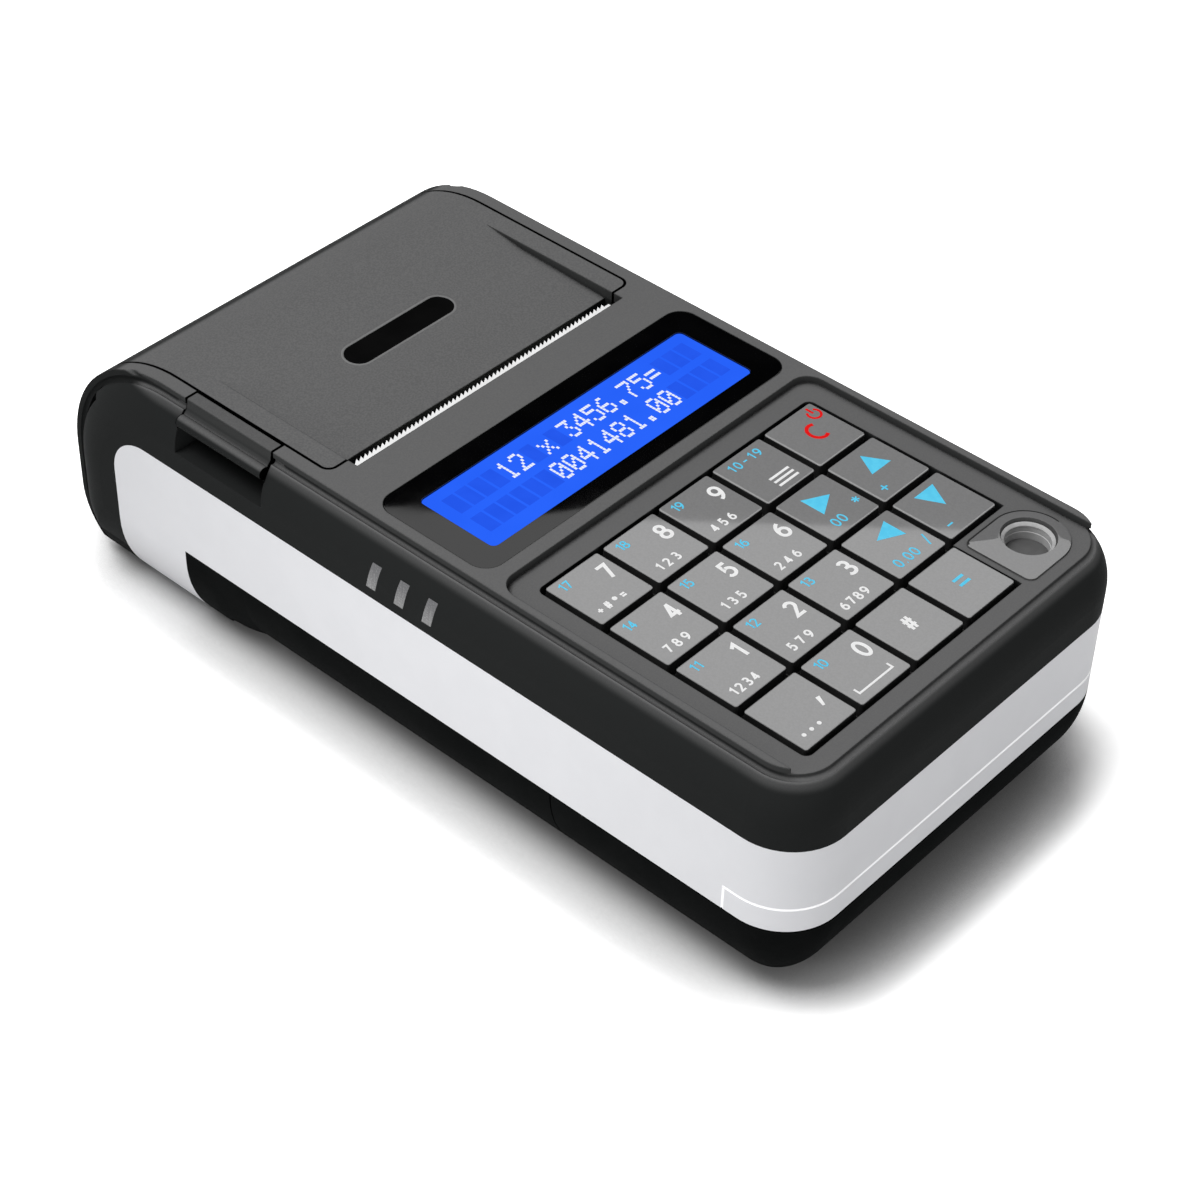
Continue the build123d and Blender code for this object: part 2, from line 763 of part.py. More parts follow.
def meshing_angle(first_angle, first_teeth, direction, second_teeth):
    """Tooth angle of a gear that meshes with the first one, lying in the given direction from it."""
    return direction + pi + (pi - (first_angle - direction) * first_teeth) / second_teeth


to_reduction = atan2(-open_z, -open_y)
to_pinion = atan2(motor_z - reduction_z, motor_y - reduction_y)
reduction_angle = meshing_angle(to_reduction, platen_teeth, to_reduction, reduction_teeth)
pinion_angle = meshing_angle(reduction_angle, reduction_teeth, to_pinion, pinion_teeth)


def platen_shaft():
    """Steel shaft through the platen."""
    return rod_x(-frame_half, gear_end, platen_y, platen_z, platen_shaft_radius)


def platen_roller():
    """Rubber sleeve of the platen."""
    sleeve = rod_x(-platen_length / 2, platen_length / 2, platen_y, platen_z, platen_radius)
    return sleeve - rod_x(-half_width, half_width, platen_y, platen_z, platen_shaft_radius)


def motor_pinion():
    """Pinion and shaft of the stepper motor."""
    shaft = rod_x(frame_inside - motor_length / 2, gear_end, motor_y, motor_z, motor_shaft_radius)
    return gear(pinion_teeth, motor_shaft_radius / 2, motor_y, motor_z, pinion_angle) + shaft


def stepper_motor():
    """Motor can bolted inside the right side plate."""
    inside = frame_inside
    can = rod_x(inside - motor_length, inside, motor_y, motor_z, motor_radius)
    ears = block(inside - foot_plate, inside, motor_y - motor_ear, motor_y + motor_radius,
                 motor_z - motor_ear / 2, motor_z + motor_ear / 2)
    bore = rod_x(inside - motor_length / 2 - 1, inside, motor_y, motor_z, motor_shaft_radius + running_gap)
    return can + ears - bore


def printer_frame():
    """Bent steel frame with open notches for the platen shaft."""
    inside = frame_inside
    sides = both_sides(block(inside, frame_half, frame_front, frame_rear, frame_z, frame_top))
    back = block(-frame_half, frame_half, frame_front, frame_front + frame_plate, frame_z, frame_top)
    foot = block(inside - frame_foot, inside, frame_front, frame_rear, frame_z, frame_z + foot_plate)
    open_radius = platen_shaft_radius + notch_gap
    notch = block(-frame_half, frame_half, -open_radius, open_radius, 0, body_height)
    notch += rod_x(-frame_half, frame_half, 0, 0, open_radius)
    slot = Pos(0, platen_y, platen_z) * Rot(degrees(atan2(-open_y, open_z)), 0, 0) * notch
    slot -= block(-inside, inside, frame_front, frame_rear, 0, body_height)
    cap = gear_end + running_gap
    axle = rod_x(inside, cap + axle_cap, reduction_y, reduction_z, axle_radius)
    axle += rod_x(cap, cap + axle_cap, reduction_y, reduction_z, 2 * axle_radius)
    motor_hole = rod_x(0, half_width, motor_y, motor_z, motor_shaft_radius + soft_gap)
    return sides + back + both_sides(foot) - slot + axle - motor_hole


def print_head():
    """Thermal print head on its plate, just in front of the platen."""
    face = platen_y - platen_radius - soft_gap
    half = platen_length / 2 - head_border
    return block(-half, half, face - head_thickness, face, platen_z - head_height / 2, platen_z + head_height / 2)


def coil(x, y0, y1, z, radius, wire, turns):
    """A coil spring with its axis along Y."""
    length = y1 - y0 - wire
    path = Helix(length / turns, length, radius - wire / 2)
    start = Plane(path @ 0, z_dir=path % 0)
    spring = sweep(start * Circle(wire / 2), path)
    return Pos(x, y0 + wire / 2, z) * Rot(-90, 0, 0) * spring


def head_springs():
    """Two springs that press the print head towards the platen."""
    start = frame_front + frame_plate
    end = platen_y - platen_radius - soft_gap - head_thickness
    return both_sides(coil(spring_place, start, end, platen_z, spring_radius, spring_wire, spring_turns))


def tear_bar():
    """Serrated bar at the front edge of the paper slot."""
    half = tear_length / 2
    top = body_height - 0.1
    under = body_height - wall
    flange = block(-half, half, tear_base - tear_flange, tear_base + tear_thickness, under - tear_lip, under)
    left = -half - tear_shift
    right = half - tear_shift
    riser = block(left, right, tear_base, tear_base + tear_thickness, under - tear_lip, top)
    count = round(tear_length / tear_tooth)
    tooth = tear_length / count
    corners = [(left, tear_base + tear_thickness / 2)]
    for n in range(count):
        corners.append((left + n * tooth, tear_base + tear_thickness))
        corners.append((left + (n + 0.5) * tooth, tear_base + tear_reach))
    corners.append((right, tear_base + tear_thickness))
    corners.append((right, tear_base + tear_thickness / 2))
    teeth = extrude(Plane.XY.offset(top - tear_tip) * make_face(Polyline(*corners, close=True)), tear_tip)
    return flange + riser + teeth


def paper_bay():
    """Open trough for the paper roll, standing on the floor of the lower case."""
    half = bay_length / 2 + bay_wall
    shell = rod_x(-half, half, bay_middle, bay_height, bay_radius + bay_wall)
    reach = bay_radius + bay_wall
    shell += block(-half, half, bay_middle - reach, bay_middle + reach, bay_height, bay_rim)
    shell &= block(-half, half, front, rear, 0, bay_rim)
    shell += block(bay_foot / 2 - half, half - bay_foot / 2, bay_middle - bay_foot / 2, bay_middle + bay_foot / 2,
                   rear_floor + wall, bay_height - bay_radius)
    room = rod_x(-bay_length / 2, bay_length / 2, bay_middle, bay_height, bay_radius)
    room += block(-bay_length / 2, bay_length / 2, bay_middle - bay_radius, bay_middle + bay_radius, bay_height,
                  body_height)
    return shell - room


# ---- Latch -----------------------------------------------------------------------------
def latch_lever():
    """Lever in the left shoulder that holds the paper door shut."""
    hub = rod_y(latch_front, latch_rear, latch_x, latch_z, latch_knuckle)
    inner_corner = block(latch_x, 0, latch_front, latch_rear, latch_z - latch_knuckle, body_height + 1)
    lever = (skin & latch_prism(0)) - block(lever_side, 0, latch_front, latch_rear, 0, body_height + 1)
    lever = lever - inner_corner + hub
    lever += lip()
    lever += block(latch_x, lever_side, *striker_span, lip_height + soft_gap, latch_z)
    lever -= rod_y(latch_front - 1, latch_rear + 1, latch_x, latch_z, latch_pin_radius + running_gap)
    lever -= rod_y(*spring_span, latch_x, latch_z, latch_knuckle + soft_gap)
    return lever


def lip():
    """Rounded lip along the lower edge of the lever for a fingertip."""
    ridge = rod_y(latch_front, latch_rear, -half_width + lip_inset, lip_height + lip_radius, lip_radius)
    return ridge & block(-body_width, body_width, latch_front, latch_rear, lip_height, body_height)


def latch_pin():
    """Steel pin that the lever turns on."""
    return rod_y(latch_front - pin_grip, latch_rear + pin_grip, latch_x, latch_z, latch_pin_radius)


def latch_spring():
    """Spring coiled on the pin, which turns the lever shut."""
    radius = latch_pin_radius + latch_spring_wire
    start = spring_front + soft_gap / 2
    end = spring_front + latch_spring_length - soft_gap / 2
    return coil(latch_x, start, end, latch_z, radius, latch_spring_wire, latch_spring_turns)


# ---- Keys, display and boards ------------------------------------------------------------
def key(x, y):
    """One key: tapered cap, flange and stem."""
    top = RectangleRounded(key_top, key_top, key_corner)
    cap = Pos(x, y, key_top_z) * extrude(top, -key_height, taper=-key_taper)
    flange = plate(key_base, key_base, key_corner, key_flange, x, y, key_floor_z)
    stem = rod_z(key_floor_z - key_stem, key_floor_z, x, y, key_stem_radius)
    return cap + flange + stem


key_names = [
    ["7", "8", "9", "menu", "clear"],
    ["4", "5", "6", "right", "up"],
    ["1", "2", "3", "left", "down"],
    ["comma", "0", "item", "total"],
]


def key_mat():
    """Rubber mat with a ring round every key stem."""
    mat = plate(2 * well_half, well_back - well_front, 2, mat_thickness, 0, (well_back + well_front) / 2, mat_z)
    floor = mat_z + mat_thickness
    for column, row, x, y in key_places():
        ring = rod_z(floor, floor + ring_height, x, y, ring_radius)
        mat += ring - rod_z(floor, floor + ring_height, x, y, key_stem_radius + soft_gap)
    return mat


def key_board():
    """Circuit board under the rubber mat."""
    width = body_width - 2 * key_board_margin
    start = front + key_board_setback
    length = well_back + key_board_margin - wall - start
    return plate(width, length, key_board_corner, board_thickness, 0, start + length / 2, key_board_z)


def display_window():
    """Gloss window over the display."""
    z = body_height - window_thickness
    gap = 2 * window_fit
    return plate(window_length - gap, window_width - gap, window_corner - window_fit, window_thickness - window_fit,
                 0, window_middle, z)


def display_glass():
    """Glass of the liquid crystal display, under the window."""
    z = body_height - window_thickness - display_thickness
    return plate(glass_length, glass_width, seam_gap, display_thickness, 0, display_middle, z)


def display_board():
    """Board that carries the display glass."""
    z = body_height - window_thickness - display_thickness - board_thickness
    length = glass_length + 2 * display_board_border
    width = glass_width + 2 * display_board_border
    return plate(length, width, seam_gap, board_thickness, 0, display_middle, z)


def main_board():
    """Main circuit board on its standoffs."""
    return block(-board_half, board_half, board_front, board_rear, board_z, board_z + board_thickness)


def memory_module():
    """Sealed memory block on the main board."""
    x, y = memory_place
    return plate(memory_length, memory_width, seam_gap, memory_height, x, board_rear + y, board_z + board_thickness)


def seal_plate():
    """Panel with the round well for a seal, beside the keys."""
    left = seal_left + seal_inset
    right = well_half + wall
    panel = plate(right - left, key_pitch, seal_corner, key_top_z - keypad_floor, (left + right) / 2,
                  seal_y - seam_gap, keypad_floor)
    panel += rod_z(key_top_z - seal_well_depth - seal_wall, key_top_z, seal_x, seal_y, seal_well_radius + seal_wall)
    return panel - rod_z(key_top_z - seal_well_depth, body_height, seal_x, seal_y, seal_well_radius)


def seal_screw():
    """Screw at the bottom of the seal well."""
    floor = key_top_z - seal_well_depth
    top = floor + seal_screw_head
    head = rod_z(floor, top, seal_x, seal_y, screw_head_radius)
    slot = block(seal_x - screw_head_radius, seal_x + screw_head_radius, seal_y - driver_slot / 2,
                 seal_y + driver_slot / 2, top - driver_slot, top)
    return head - slot


def light_pipes():
    """Three clear light windows in the left wall."""
    pipes = [light_window(y, 0) & skin for y in light_places()]
    return pipes[0] + pipes[1] + pipes[2]


# ---- Battery, sockets, feet, fixings -------------------------------------------------------
def battery_pack():
    """Battery pack under the deck."""
    middle = front + 3 * wall + battery_gap + battery_length / 2
    return plate(battery_width, battery_length, battery_corner, battery_height, 0, middle, deck_z - battery_height)


def socket(x, length, height):
    """A socket shell standing on the deck, open to the front."""
    half = length / 2
    face = socket_front
    shell = block(x - half, x + half, face, face + socket_length, belly_split, belly_split + height)
    half = half - socket_wall
    return shell - block(x - half, x + half, face, face + 0.7 * socket_length, belly_split + socket_wall,
                         belly_split + height - socket_wall)


def usb_socket():
    """Small data socket with its tongue."""
    middle = belly_split + usb_height / 2
    half = usb_length / 2 - 2 * contact_width
    tongue = block(usb_place - half, usb_place + half, socket_front + socket_gap, socket_front + contact_reach,
                   middle - contact_width / 2, middle + contact_width / 2)
    return socket(usb_place, usb_length, usb_height) + tongue


def serial_socket():
    """Wider socket with a row of contacts."""
    body = socket(serial_place, serial_length, socket_height)
    middle = belly_split + socket_height / 2
    for n in range(contact_count):
        x = serial_place + (n - (contact_count - 1) / 2) * contact_pitch
        body += block(x - contact_width / 2, x + contact_width / 2, socket_front + contact_pitch,
                      socket_front + contact_reach, middle - contact_width / 2, middle + contact_width / 2)
    return body


def power_socket():
    """Round socket for the charger, with its centre pin."""
    middle = belly_split + socket_height / 2
    half = socket_height / 2
    body = block(power_place - half, power_place + half, socket_front, socket_front + socket_length, belly_split,
                 belly_split + socket_height)
    body -= rod_y(socket_front, socket_front + contact_reach, power_place, middle, half - socket_wall)
    return body + rod_y(socket_front + socket_gap, socket_front + socket_length / 2 + contact_reach / 2, power_place,
                        middle, power_pin_radius)


def round_feet(y, z):
    """A pair of round rubber feet whose upper faces are at z."""
    return both_sides(rod_z(0, z, foot_x, y, foot_radius))


def case_screws():
    """Six screws that join the case shells from below."""
    screws = []
    for x, y in post_places:
        seat = screw_seat(y)
        screw = rod_z(seat, screw_top, x, y, screw_radius) + rod_z(seat - screw_head, seat, x, y, screw_head_radius)
        screws.append(both_sides(screw))
    return screws[0] + screws[1] + screws[2]


save(upper_case(), "upper_case")
save(side_band(), "side_band")
save(lower_case(), "lower_case")
save(battery_cover(), "battery_cover")
save(port_cover(), "port_cover")
save(paper_door(), "paper_door")
save(badge_plate(), "badge_plate")
save(platen_bushes(), "platen_bushes")
save(platen_shaft(), "platen_shaft")
save(platen_roller(), "platen_roller")
save(gear(platen_teeth, platen_shaft_radius, platen_y, platen_z, to_reduction), "platen_gear")
save(gear(reduction_teeth, axle_radius + running_gap, reduction_y, reduction_z, reduction_angle), "reduction_gear")
save(motor_pinion(), "motor_pinion")
save(stepper_motor(), "stepper_motor")
save(printer_frame(), "printer_frame")
save(print_head(), "print_head")
save(head_springs(), "head_springs")
save(tear_bar(), "tear_bar")
save(paper_bay(), "paper_bay")
save(rod_x(-hinge_pin_half, hinge_pin_half, hinge_y, hinge_z, hinge_pin_radius), "door_hinge_pin")
save(latch_lever(), "latch_lever")
save(latch_pin(), "latch_pin")
save(latch_spring(), "latch_spring")
for column, row, x, y in key_places():
    save(key(x, y), f"key_{key_names[row][column]}")
save(key_mat(), "key_mat")
save(key_board(), "key_board")
save(display_window(), "display_window")
save(display_glass(), "display_glass")
save(display_board(), "display_board")
save(main_board(), "main_board")
save(memory_module(), "memory_module")
save(seal_plate(), "seal_plate")
save(seal_screw(), "seal_screw")
save(light_pipes(), "light_pipes")
save(battery_pack(), "battery_pack")
save(usb_socket(), "usb_socket")
save(serial_socket(), "serial_socket")
save(power_socket(), "power_socket")
save(round_feet(front + front_foot_setback, front_floor), "front_feet")
save(round_feet(rear - rear_foot_setback, rear_floor), "rear_feet")
save(case_screws(), "case_screws")
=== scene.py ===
"""Looks of a hand-held ticket register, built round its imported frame.

Blender measures in metres here, and mm turns millimetres into them.
"""
import math

import bmesh
import bpy
from mathutils import Matrix, Vector


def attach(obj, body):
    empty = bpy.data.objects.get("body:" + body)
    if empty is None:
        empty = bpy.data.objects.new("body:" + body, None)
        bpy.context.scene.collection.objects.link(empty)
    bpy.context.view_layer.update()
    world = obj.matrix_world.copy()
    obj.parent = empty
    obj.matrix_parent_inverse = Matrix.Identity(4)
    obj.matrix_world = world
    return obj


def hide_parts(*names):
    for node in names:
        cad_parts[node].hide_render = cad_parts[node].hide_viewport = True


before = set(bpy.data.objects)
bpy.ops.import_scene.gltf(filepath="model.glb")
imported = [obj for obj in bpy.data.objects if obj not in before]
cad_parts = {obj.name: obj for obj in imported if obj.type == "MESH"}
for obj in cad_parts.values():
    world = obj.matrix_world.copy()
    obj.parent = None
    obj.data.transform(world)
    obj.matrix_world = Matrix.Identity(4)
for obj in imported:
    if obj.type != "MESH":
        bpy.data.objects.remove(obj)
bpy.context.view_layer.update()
mm = 0.001

# ---- Lower case and battery cover -----------------------------------------------------------
# Two shells of black ABS under the register, moulded with a fine spark texture. The front one slides off
# over the battery. The joint between them runs across the belly.
belly_black = (0.004, 0.0045, 0.0045)
belly_black_worn = (0.0055, 0.006, 0.006)
bump_height = 0.02


def start_finish(name):
    """A new material: its node tree and its shader."""
    material = bpy.data.materials.new(name)
    material.use_nodes = True
    tree = material.node_tree
    tree.nodes.clear()
    shader = tree.nodes.new("ShaderNodeBsdfPrincipled")
    output = tree.nodes.new("ShaderNodeOutputMaterial")
    tree.links.new(shader.outputs["BSDF"], output.inputs["Surface"])
    return material, tree, shader


def add(tree, kind, settings=None, **inputs):
    """Add a node. Settings are its own options; inputs are numbers, colours or outputs of other nodes."""
    node = tree.nodes.new("ShaderNode" + kind)
    for key, value in (settings or {}).items():
        setattr(node, key, value)
    for key, value in inputs.items():
        socket = node.inputs[key.replace("_", " ")]
        if isinstance(value, bpy.types.NodeSocket):
            tree.links.new(value, socket)
        else:
            socket.default_value = value
    return node


def spread(tree, value, low, high, to_low, to_high):
    """Map a value from one range to another, smoothly."""
    node = add(tree, "MapRange", {"interpolation_type": "SMOOTHSTEP"}, Value=value,
               From_Min=low, From_Max=high, To_Min=to_low, To_Max=to_high)
    return node.outputs["Result"]


def mixed(tree, share, first, second, kind="MIX"):
    """Mix two colours, each a colour or the output of a node."""
    node = add(tree, "Mix", {"data_type": "RGBA", "blend_type": kind})
    for place, value in ((0, share), (6, first), (7, second)):
        if isinstance(value, bpy.types.NodeSocket):
            tree.links.new(value, node.inputs[place])
        elif place == 0:
            node.inputs[0].default_value = value
        else:
            node.inputs[place].default_value = (*value, 1)
    return node.outputs[2]


def noise(tree, place, feature, detail=2.0, stretch=(1, 1, 1)):
    """Noise whose features are about the given size in millimetres, longer where stretch is over 1."""
    if stretch != (1, 1, 1):
        place = add(tree, "Mapping", Vector=place, Scale=[1 / length for length in stretch]).outputs["Vector"]
    return add(tree, "TexNoise", Vector=place, Scale=1 / (feature * mm), Detail=detail).outputs["Fac"]


def surface(tree, shader, place, grain, depth, low_rough, high_rough, edge, stretch=(1, 1, 1)):
    """Give the shader a texture of that grain, and edges rounded by that many millimetres."""
    fine = noise(tree, place, grain, 3.0, stretch)
    tree.links.new(spread(tree, fine, 0.3, 0.7, low_rough, high_rough), shader.inputs["Roughness"])
    eased = add(tree, "Bevel", {"samples": 4}, Radius=edge * mm).outputs["Normal"]
    bump = add(tree, "Bump", Strength=depth, Distance=bump_height * mm, Height=fine, Normal=eased)
    tree.links.new(bump.outputs["Normal"], shader.inputs["Normal"])


def plain_finish(name, colour, worn, grain, depth, rough, edge, level=0.5, patch=9.0,
                 stretch=(1, 1, 1), metal=0.0):
    """A material of one colour with faint mottling.

    Grain, edge and patch are sizes in millimetres. Depth is the strength of the texture, rough the range
    of the roughness and level the strength of the gloss.
    """
    material, tree, shader = start_finish(name)
    place = add(tree, "TexCoord").outputs["Object"]
    mottling = spread(tree, noise(tree, place, patch, 3.0, stretch), 0.35, 0.65, 0.0, 1.0)
    tree.links.new(mixed(tree, mottling, colour, worn), shader.inputs["Base Color"])
    surface(tree, shader, place, grain, depth, rough[0], rough[1], edge, stretch)
    shader.inputs["Specular IOR Level"].default_value = level
    shader.inputs["Metallic"].default_value = metal
    return material


def finish_nodes(material, *names):
    """Give CAD nodes their material."""
    for name in names:
        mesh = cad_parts[name].data
        mesh.materials.clear()
        mesh.materials.append(material)


belly = plain_finish("black_shell", belly_black, belly_black_worn, 0.25, 0.3, (0.5, 0.6), 0.18, 0.005)
finish_nodes(belly, "lower_case", "battery_cover")

# ---- Feet and case screws -------------------------------------------------------------------
# Four soft rubber pads, glued into round seats, and six zinc-plated screws that hold the two shells
# together from below.
foot_black = (0.018, 0.018, 0.018)
foot_black_worn = (0.028, 0.028, 0.028)
foot_finish = plain_finish("foot_rubber", foot_black, foot_black_worn, 0.3, 0.5, (0.75, 0.9), 0.25)
finish_nodes(foot_finish, "front_feet", "rear_feet")
steel_grey = (0.56, 0.56, 0.57)
steel_light = (0.66, 0.66, 0.66)
screw_finish = plain_finish("screw_steel", steel_grey, steel_light, 0.2, 0.2, (0.25, 0.4), 0.08,
                            patch=1.2, metal=1.0)
finish_nodes(screw_finish, "case_screws")

# ---- Battery --------------------------------------------------------------------------------
# A flat pack of cells in blue shrink wrap, held in a bay under the deck by the battery cover. The wrap
# is thin and shows soft wrinkles.
wrap_blue = (0.018, 0.06, 0.22)
wrap_blue_light = (0.026, 0.08, 0.28)
wrap = plain_finish("battery_wrap", wrap_blue, wrap_blue_light, 1.8, 0.8, (0.18, 0.34), 0.6, patch=6.0)
finish_nodes(wrap, "battery_pack")

# ---- Circuit boards -------------------------------------------------------------------------
# Glass-fibre boards with a green mask over copper tracks and tinned pads. The main board stands on four
# pillars and carries a memory block sealed in black resin.
mask_green = (0.008, 0.085, 0.028)
track_green = (0.014, 0.135, 0.045)
pad_tin = (0.55, 0.55, 0.52)
track_pitch = 1.6
track_gap = 0.16
track_run = 11
pad_pitch = 2.54
group_size = 14.0


def worked(tree, kind, first, second=0.0):
    """Work with two numbers, each a number or the output of a node."""
    node = add(tree, "Math", {"operation": kind})
    for place, value in ((0, first), (1, second)):
        if isinstance(value, bpy.types.NodeSocket):
            tree.links.new(value, node.inputs[place])
        else:
            node.inputs[place].default_value = value
    return node.outputs[0]


board, board_tree, board_shader = start_finish("circuit_board")
board_place = add(board_tree, "TexCoord").outputs["Object"]
tracks = add(board_tree, "TexBrick", {"offset": 0.37}, Vector=board_place, Scale=1.0,
             Mortar_Size=track_gap * mm, Brick_Width=track_run * mm, Row_Height=track_pitch * mm)
masked = mixed(board_tree, tracks.outputs["Fac"], mask_green, track_green)
off_pad = add(board_tree, "TexVoronoi", {"distance": "CHEBYCHEV"}, Vector=board_place,
              Scale=1 / (pad_pitch * mm), Randomness=0.0).outputs["Distance"]
grouped = spread(board_tree, noise(board_tree, board_place, group_size, 0.0), 0.5, 0.52, 0.0, 1.0)
pads = worked(board_tree, "MULTIPLY", spread(board_tree, off_pad, 0.16, 0.2, 1.0, 0.0), grouped)
board_tree.links.new(mixed(board_tree, pads, masked, pad_tin), board_shader.inputs["Base Color"])
surface(board_tree, board_shader, board_place, 0.8, 0.1, 0.22, 0.32, 0.05)
finish_nodes(board, "main_board", "key_board", "display_board")
resin_black = (0.008, 0.008, 0.009)
resin_black_light = (0.014, 0.014, 0.015)
resin = plain_finish("resin_block", resin_black, resin_black_light, 1.4, 0.5, (0.12, 0.22), 0.4)
finish_nodes(resin, "memory_module")

# ---- Sockets behind the port cover ----------------------------------------------------------
# A folded steel shell for the data lead, and two black nylon bodies for the serial and the power plug,
# all soldered to the front edge of the main board.
bright_steel = plain_finish("steel", steel_grey, steel_light, 0.12, 0.25, (0.22, 0.38), 0.12,
                            patch=0.5, stretch=(12, 1, 1), metal=1.0)
finish_nodes(bright_steel, "usb_socket")
socket_black = (0.01, 0.01, 0.011)
socket_black_worn = (0.016, 0.016, 0.017)
socket_finish = plain_finish("socket_plastic", socket_black, socket_black_worn, 0.3, 0.2, (0.35, 0.5), 0.1)
finish_nodes(socket_finish, "serial_socket", "power_socket")

# ---- Paper bay ------------------------------------------------------------------------------
# The trough that the paper roll lies in, a black ABS moulding between the printer and the back wall. The
# turning paper has polished it in patches.
bay_black = (0.016, 0.016, 0.017)
bay_black_worn = (0.03, 0.03, 0.031)
bay_finish = plain_finish("bay_plastic", bay_black, bay_black_worn, 0.4, 0.2, (0.3, 0.48), 0.2, 0.4, 5.0)
finish_nodes(bay_finish, "paper_bay")

# ---- Printer --------------------------------------------------------------------------------
# A bent steel frame with the print head, its two springs, the stepper motor and the gears. The gears are
# natural nylon, the motor's pinion is brass and its can is zinc-plated.
finish_nodes(bright_steel, "printer_frame", "head_springs")
glaze_cream = (0.62, 0.6, 0.54)
glaze_cream_light = (0.7, 0.68, 0.62)
glaze = plain_finish("ceramic_head", glaze_cream, glaze_cream_light, 0.9, 0.1, (0.12, 0.25), 0.15, patch=3.0)
finish_nodes(glaze, "print_head")
can_zinc = (0.52, 0.53, 0.53)
can_zinc_light = (0.62, 0.63, 0.62)
can = plain_finish("zinc_can", can_zinc, can_zinc_light, 0.5, 0.2, (0.3, 0.42), 0.3, patch=2.0, metal=1.0)
finish_nodes(can, "stepper_motor")
brass_yellow = (0.62, 0.43, 0.16)
brass_yellow_light = (0.72, 0.53, 0.22)
brass = plain_finish("brass", brass_yellow, brass_yellow_light, 0.2, 0.2, (0.22, 0.34), 0.06,
                     patch=0.8, metal=1.0)
finish_nodes(brass, "motor_pinion")
nylon_milk = (0.66, 0.65, 0.6)
nylon_milk_light = (0.74, 0.73, 0.69)
nylon, nylon_tree, nylon_shader = start_finish("white_nylon")
nylon_place = add(nylon_tree, "TexCoord").outputs["Object"]
clouding = spread(nylon_tree, noise(nylon_tree, nylon_place, 2.5), 0.3, 0.7, 0.0, 1.0)
cloudy = mixed(nylon_tree, clouding, nylon_milk, nylon_milk_light)
nylon_tree.links.new(cloudy, nylon_shader.inputs["Base Color"])
nylon_shader.inputs["Subsurface Weight"].default_value = 0.2
nylon_shader.inputs["Subsurface Scale"].default_value = 0.8 * mm
surface(nylon_tree, nylon_shader, nylon_place, 0.4, 0.1, 0.3, 0.42, 0.06)
finish_nodes(nylon, "platen_gear", "reduction_gear", "platen_bushes")

# ---- Platen ---------------------------------------------------------------------------------
# A steel shaft with a sleeve of black rubber, ground round and true, so fine rings run round it. It rides
# in the paper door.
roller_black = (0.02, 0.02, 0.021)
roller_black_worn = (0.032, 0.032, 0.033)
roller_finish = plain_finish("roller_rubber", roller_black, roller_black_worn, 0.1, 0.6, (0.55, 0.72), 0.1,
                             0.4, 0.5, (1, 20, 20))
finish_nodes(roller_finish, "platen_roller")
finish_nodes(bright_steel, "platen_shaft", "door_hinge_pin", "latch_pin", "latch_spring")

# ---- Side band ------------------------------------------------------------------------------
# A pale band of satin ABS, clipped between the two dark shells round both sides and the front. Along the
# joint over the port cover its edge carries a painted highlight: a fine line of white glow of its own.
band_white = (0.80, 0.805, 0.83)
band_white_worn = (0.815, 0.82, 0.845)
strip_top_z = 25.15
strip_end_y = -78.15
glint_half = 0.24
glint_fade = 0.34
painted_glint_glow = 0.3


def glowing(material, strength):
    """Paint a highlight on a bright edge as a white glow of its own, of that strength, a number or the output
    of a node.
    """
    inputs = material.node_tree.nodes["Principled BSDF"].inputs
    inputs["Emission Color"].default_value = (1, 1, 1, 1)
    if isinstance(strength, bpy.types.NodeSocket):
        material.node_tree.links.new(strength, inputs["Emission Strength"])
    else:
        inputs["Emission Strength"].default_value = strength


pale = plain_finish("pale_shell", band_white, band_white_worn, 0.5, 0.05, (0.3, 0.36), 0.15, 0.3)
pale_tree = pale.node_tree
pale_place = add(pale_tree, "TexCoord").outputs["Object"]
pale_parts = add(pale_tree, "SeparateXYZ", Vector=pale_place).outputs
# Painted highlight: the band glows white in a thin line along its edge over the port cover and down its ends.
off_top = worked(pale_tree, "ABSOLUTE", worked(pale_tree, "SUBTRACT", pale_parts["Z"], strip_top_z * mm))
off_end = worked(pale_tree, "ABSOLUTE", worked(pale_tree, "SUBTRACT", pale_parts["Y"], strip_end_y * mm))
behind = worked(pale_tree, "GREATER_THAN", pale_parts["Y"], (strip_end_y + glint_half) * mm)
above = worked(pale_tree, "GREATER_THAN", pale_parts["Z"], (strip_top_z + glint_half) * mm)
off_strip = worked(pale_tree, "MINIMUM", worked(pale_tree, "ADD", off_top, behind),
                   worked(pale_tree, "ADD", off_end, above))
glowing(pale, spread(pale_tree, off_strip, glint_half * mm, glint_fade * mm, painted_glint_glow, 0.0))
finish_nodes(pale, "side_band", "port_cover")

# ---- Port cover -----------------------------------------------------------------------------
# A strip of the band's own plastic that pulls forwards off the sockets. A thin polished bead lies in the
# joint above it and down its ends, with a painted highlight: a faint white glow of its own.
bead_radius = 0.2
bead_low = 19.95
bead_turn = 0.2
front_y = -93.5
side_x = 48.0
front_corner = 12.2
bead_painted_glow = 0.4
bead_white = (0.9, 0.9, 0.9)
bead_white_light = (0.93, 0.93, 0.93)
bead_finish = plain_finish("bead", bead_white, bead_white_light, 0.6, 0.03, (0.12, 0.18), 0.02)
# Painted highlight: the bead glows white of its own.
glowing(bead_finish, bead_painted_glow)


def skin(name, loops, ring=False):
    """A mesh through loops of equally many points in millimetres, closed by flat ends or into a ring."""
    shape = bmesh.new()
    rows = [[shape.verts.new(Vector(point) * mm) for point in loop] for loop in loops]
    pairs = list(zip(rows, rows[1:]))
    if ring:
        pairs.append((rows[-1], rows[0]))
    for low, high in pairs:
        for n in range(len(low)):
            after = (n + 1) % len(low)
            shape.faces.new((low[n], low[after], high[after], high[n]))
    if not ring:
        shape.faces.new(rows[0])
        shape.faces.new(rows[-1])
    return settle(name, shape)


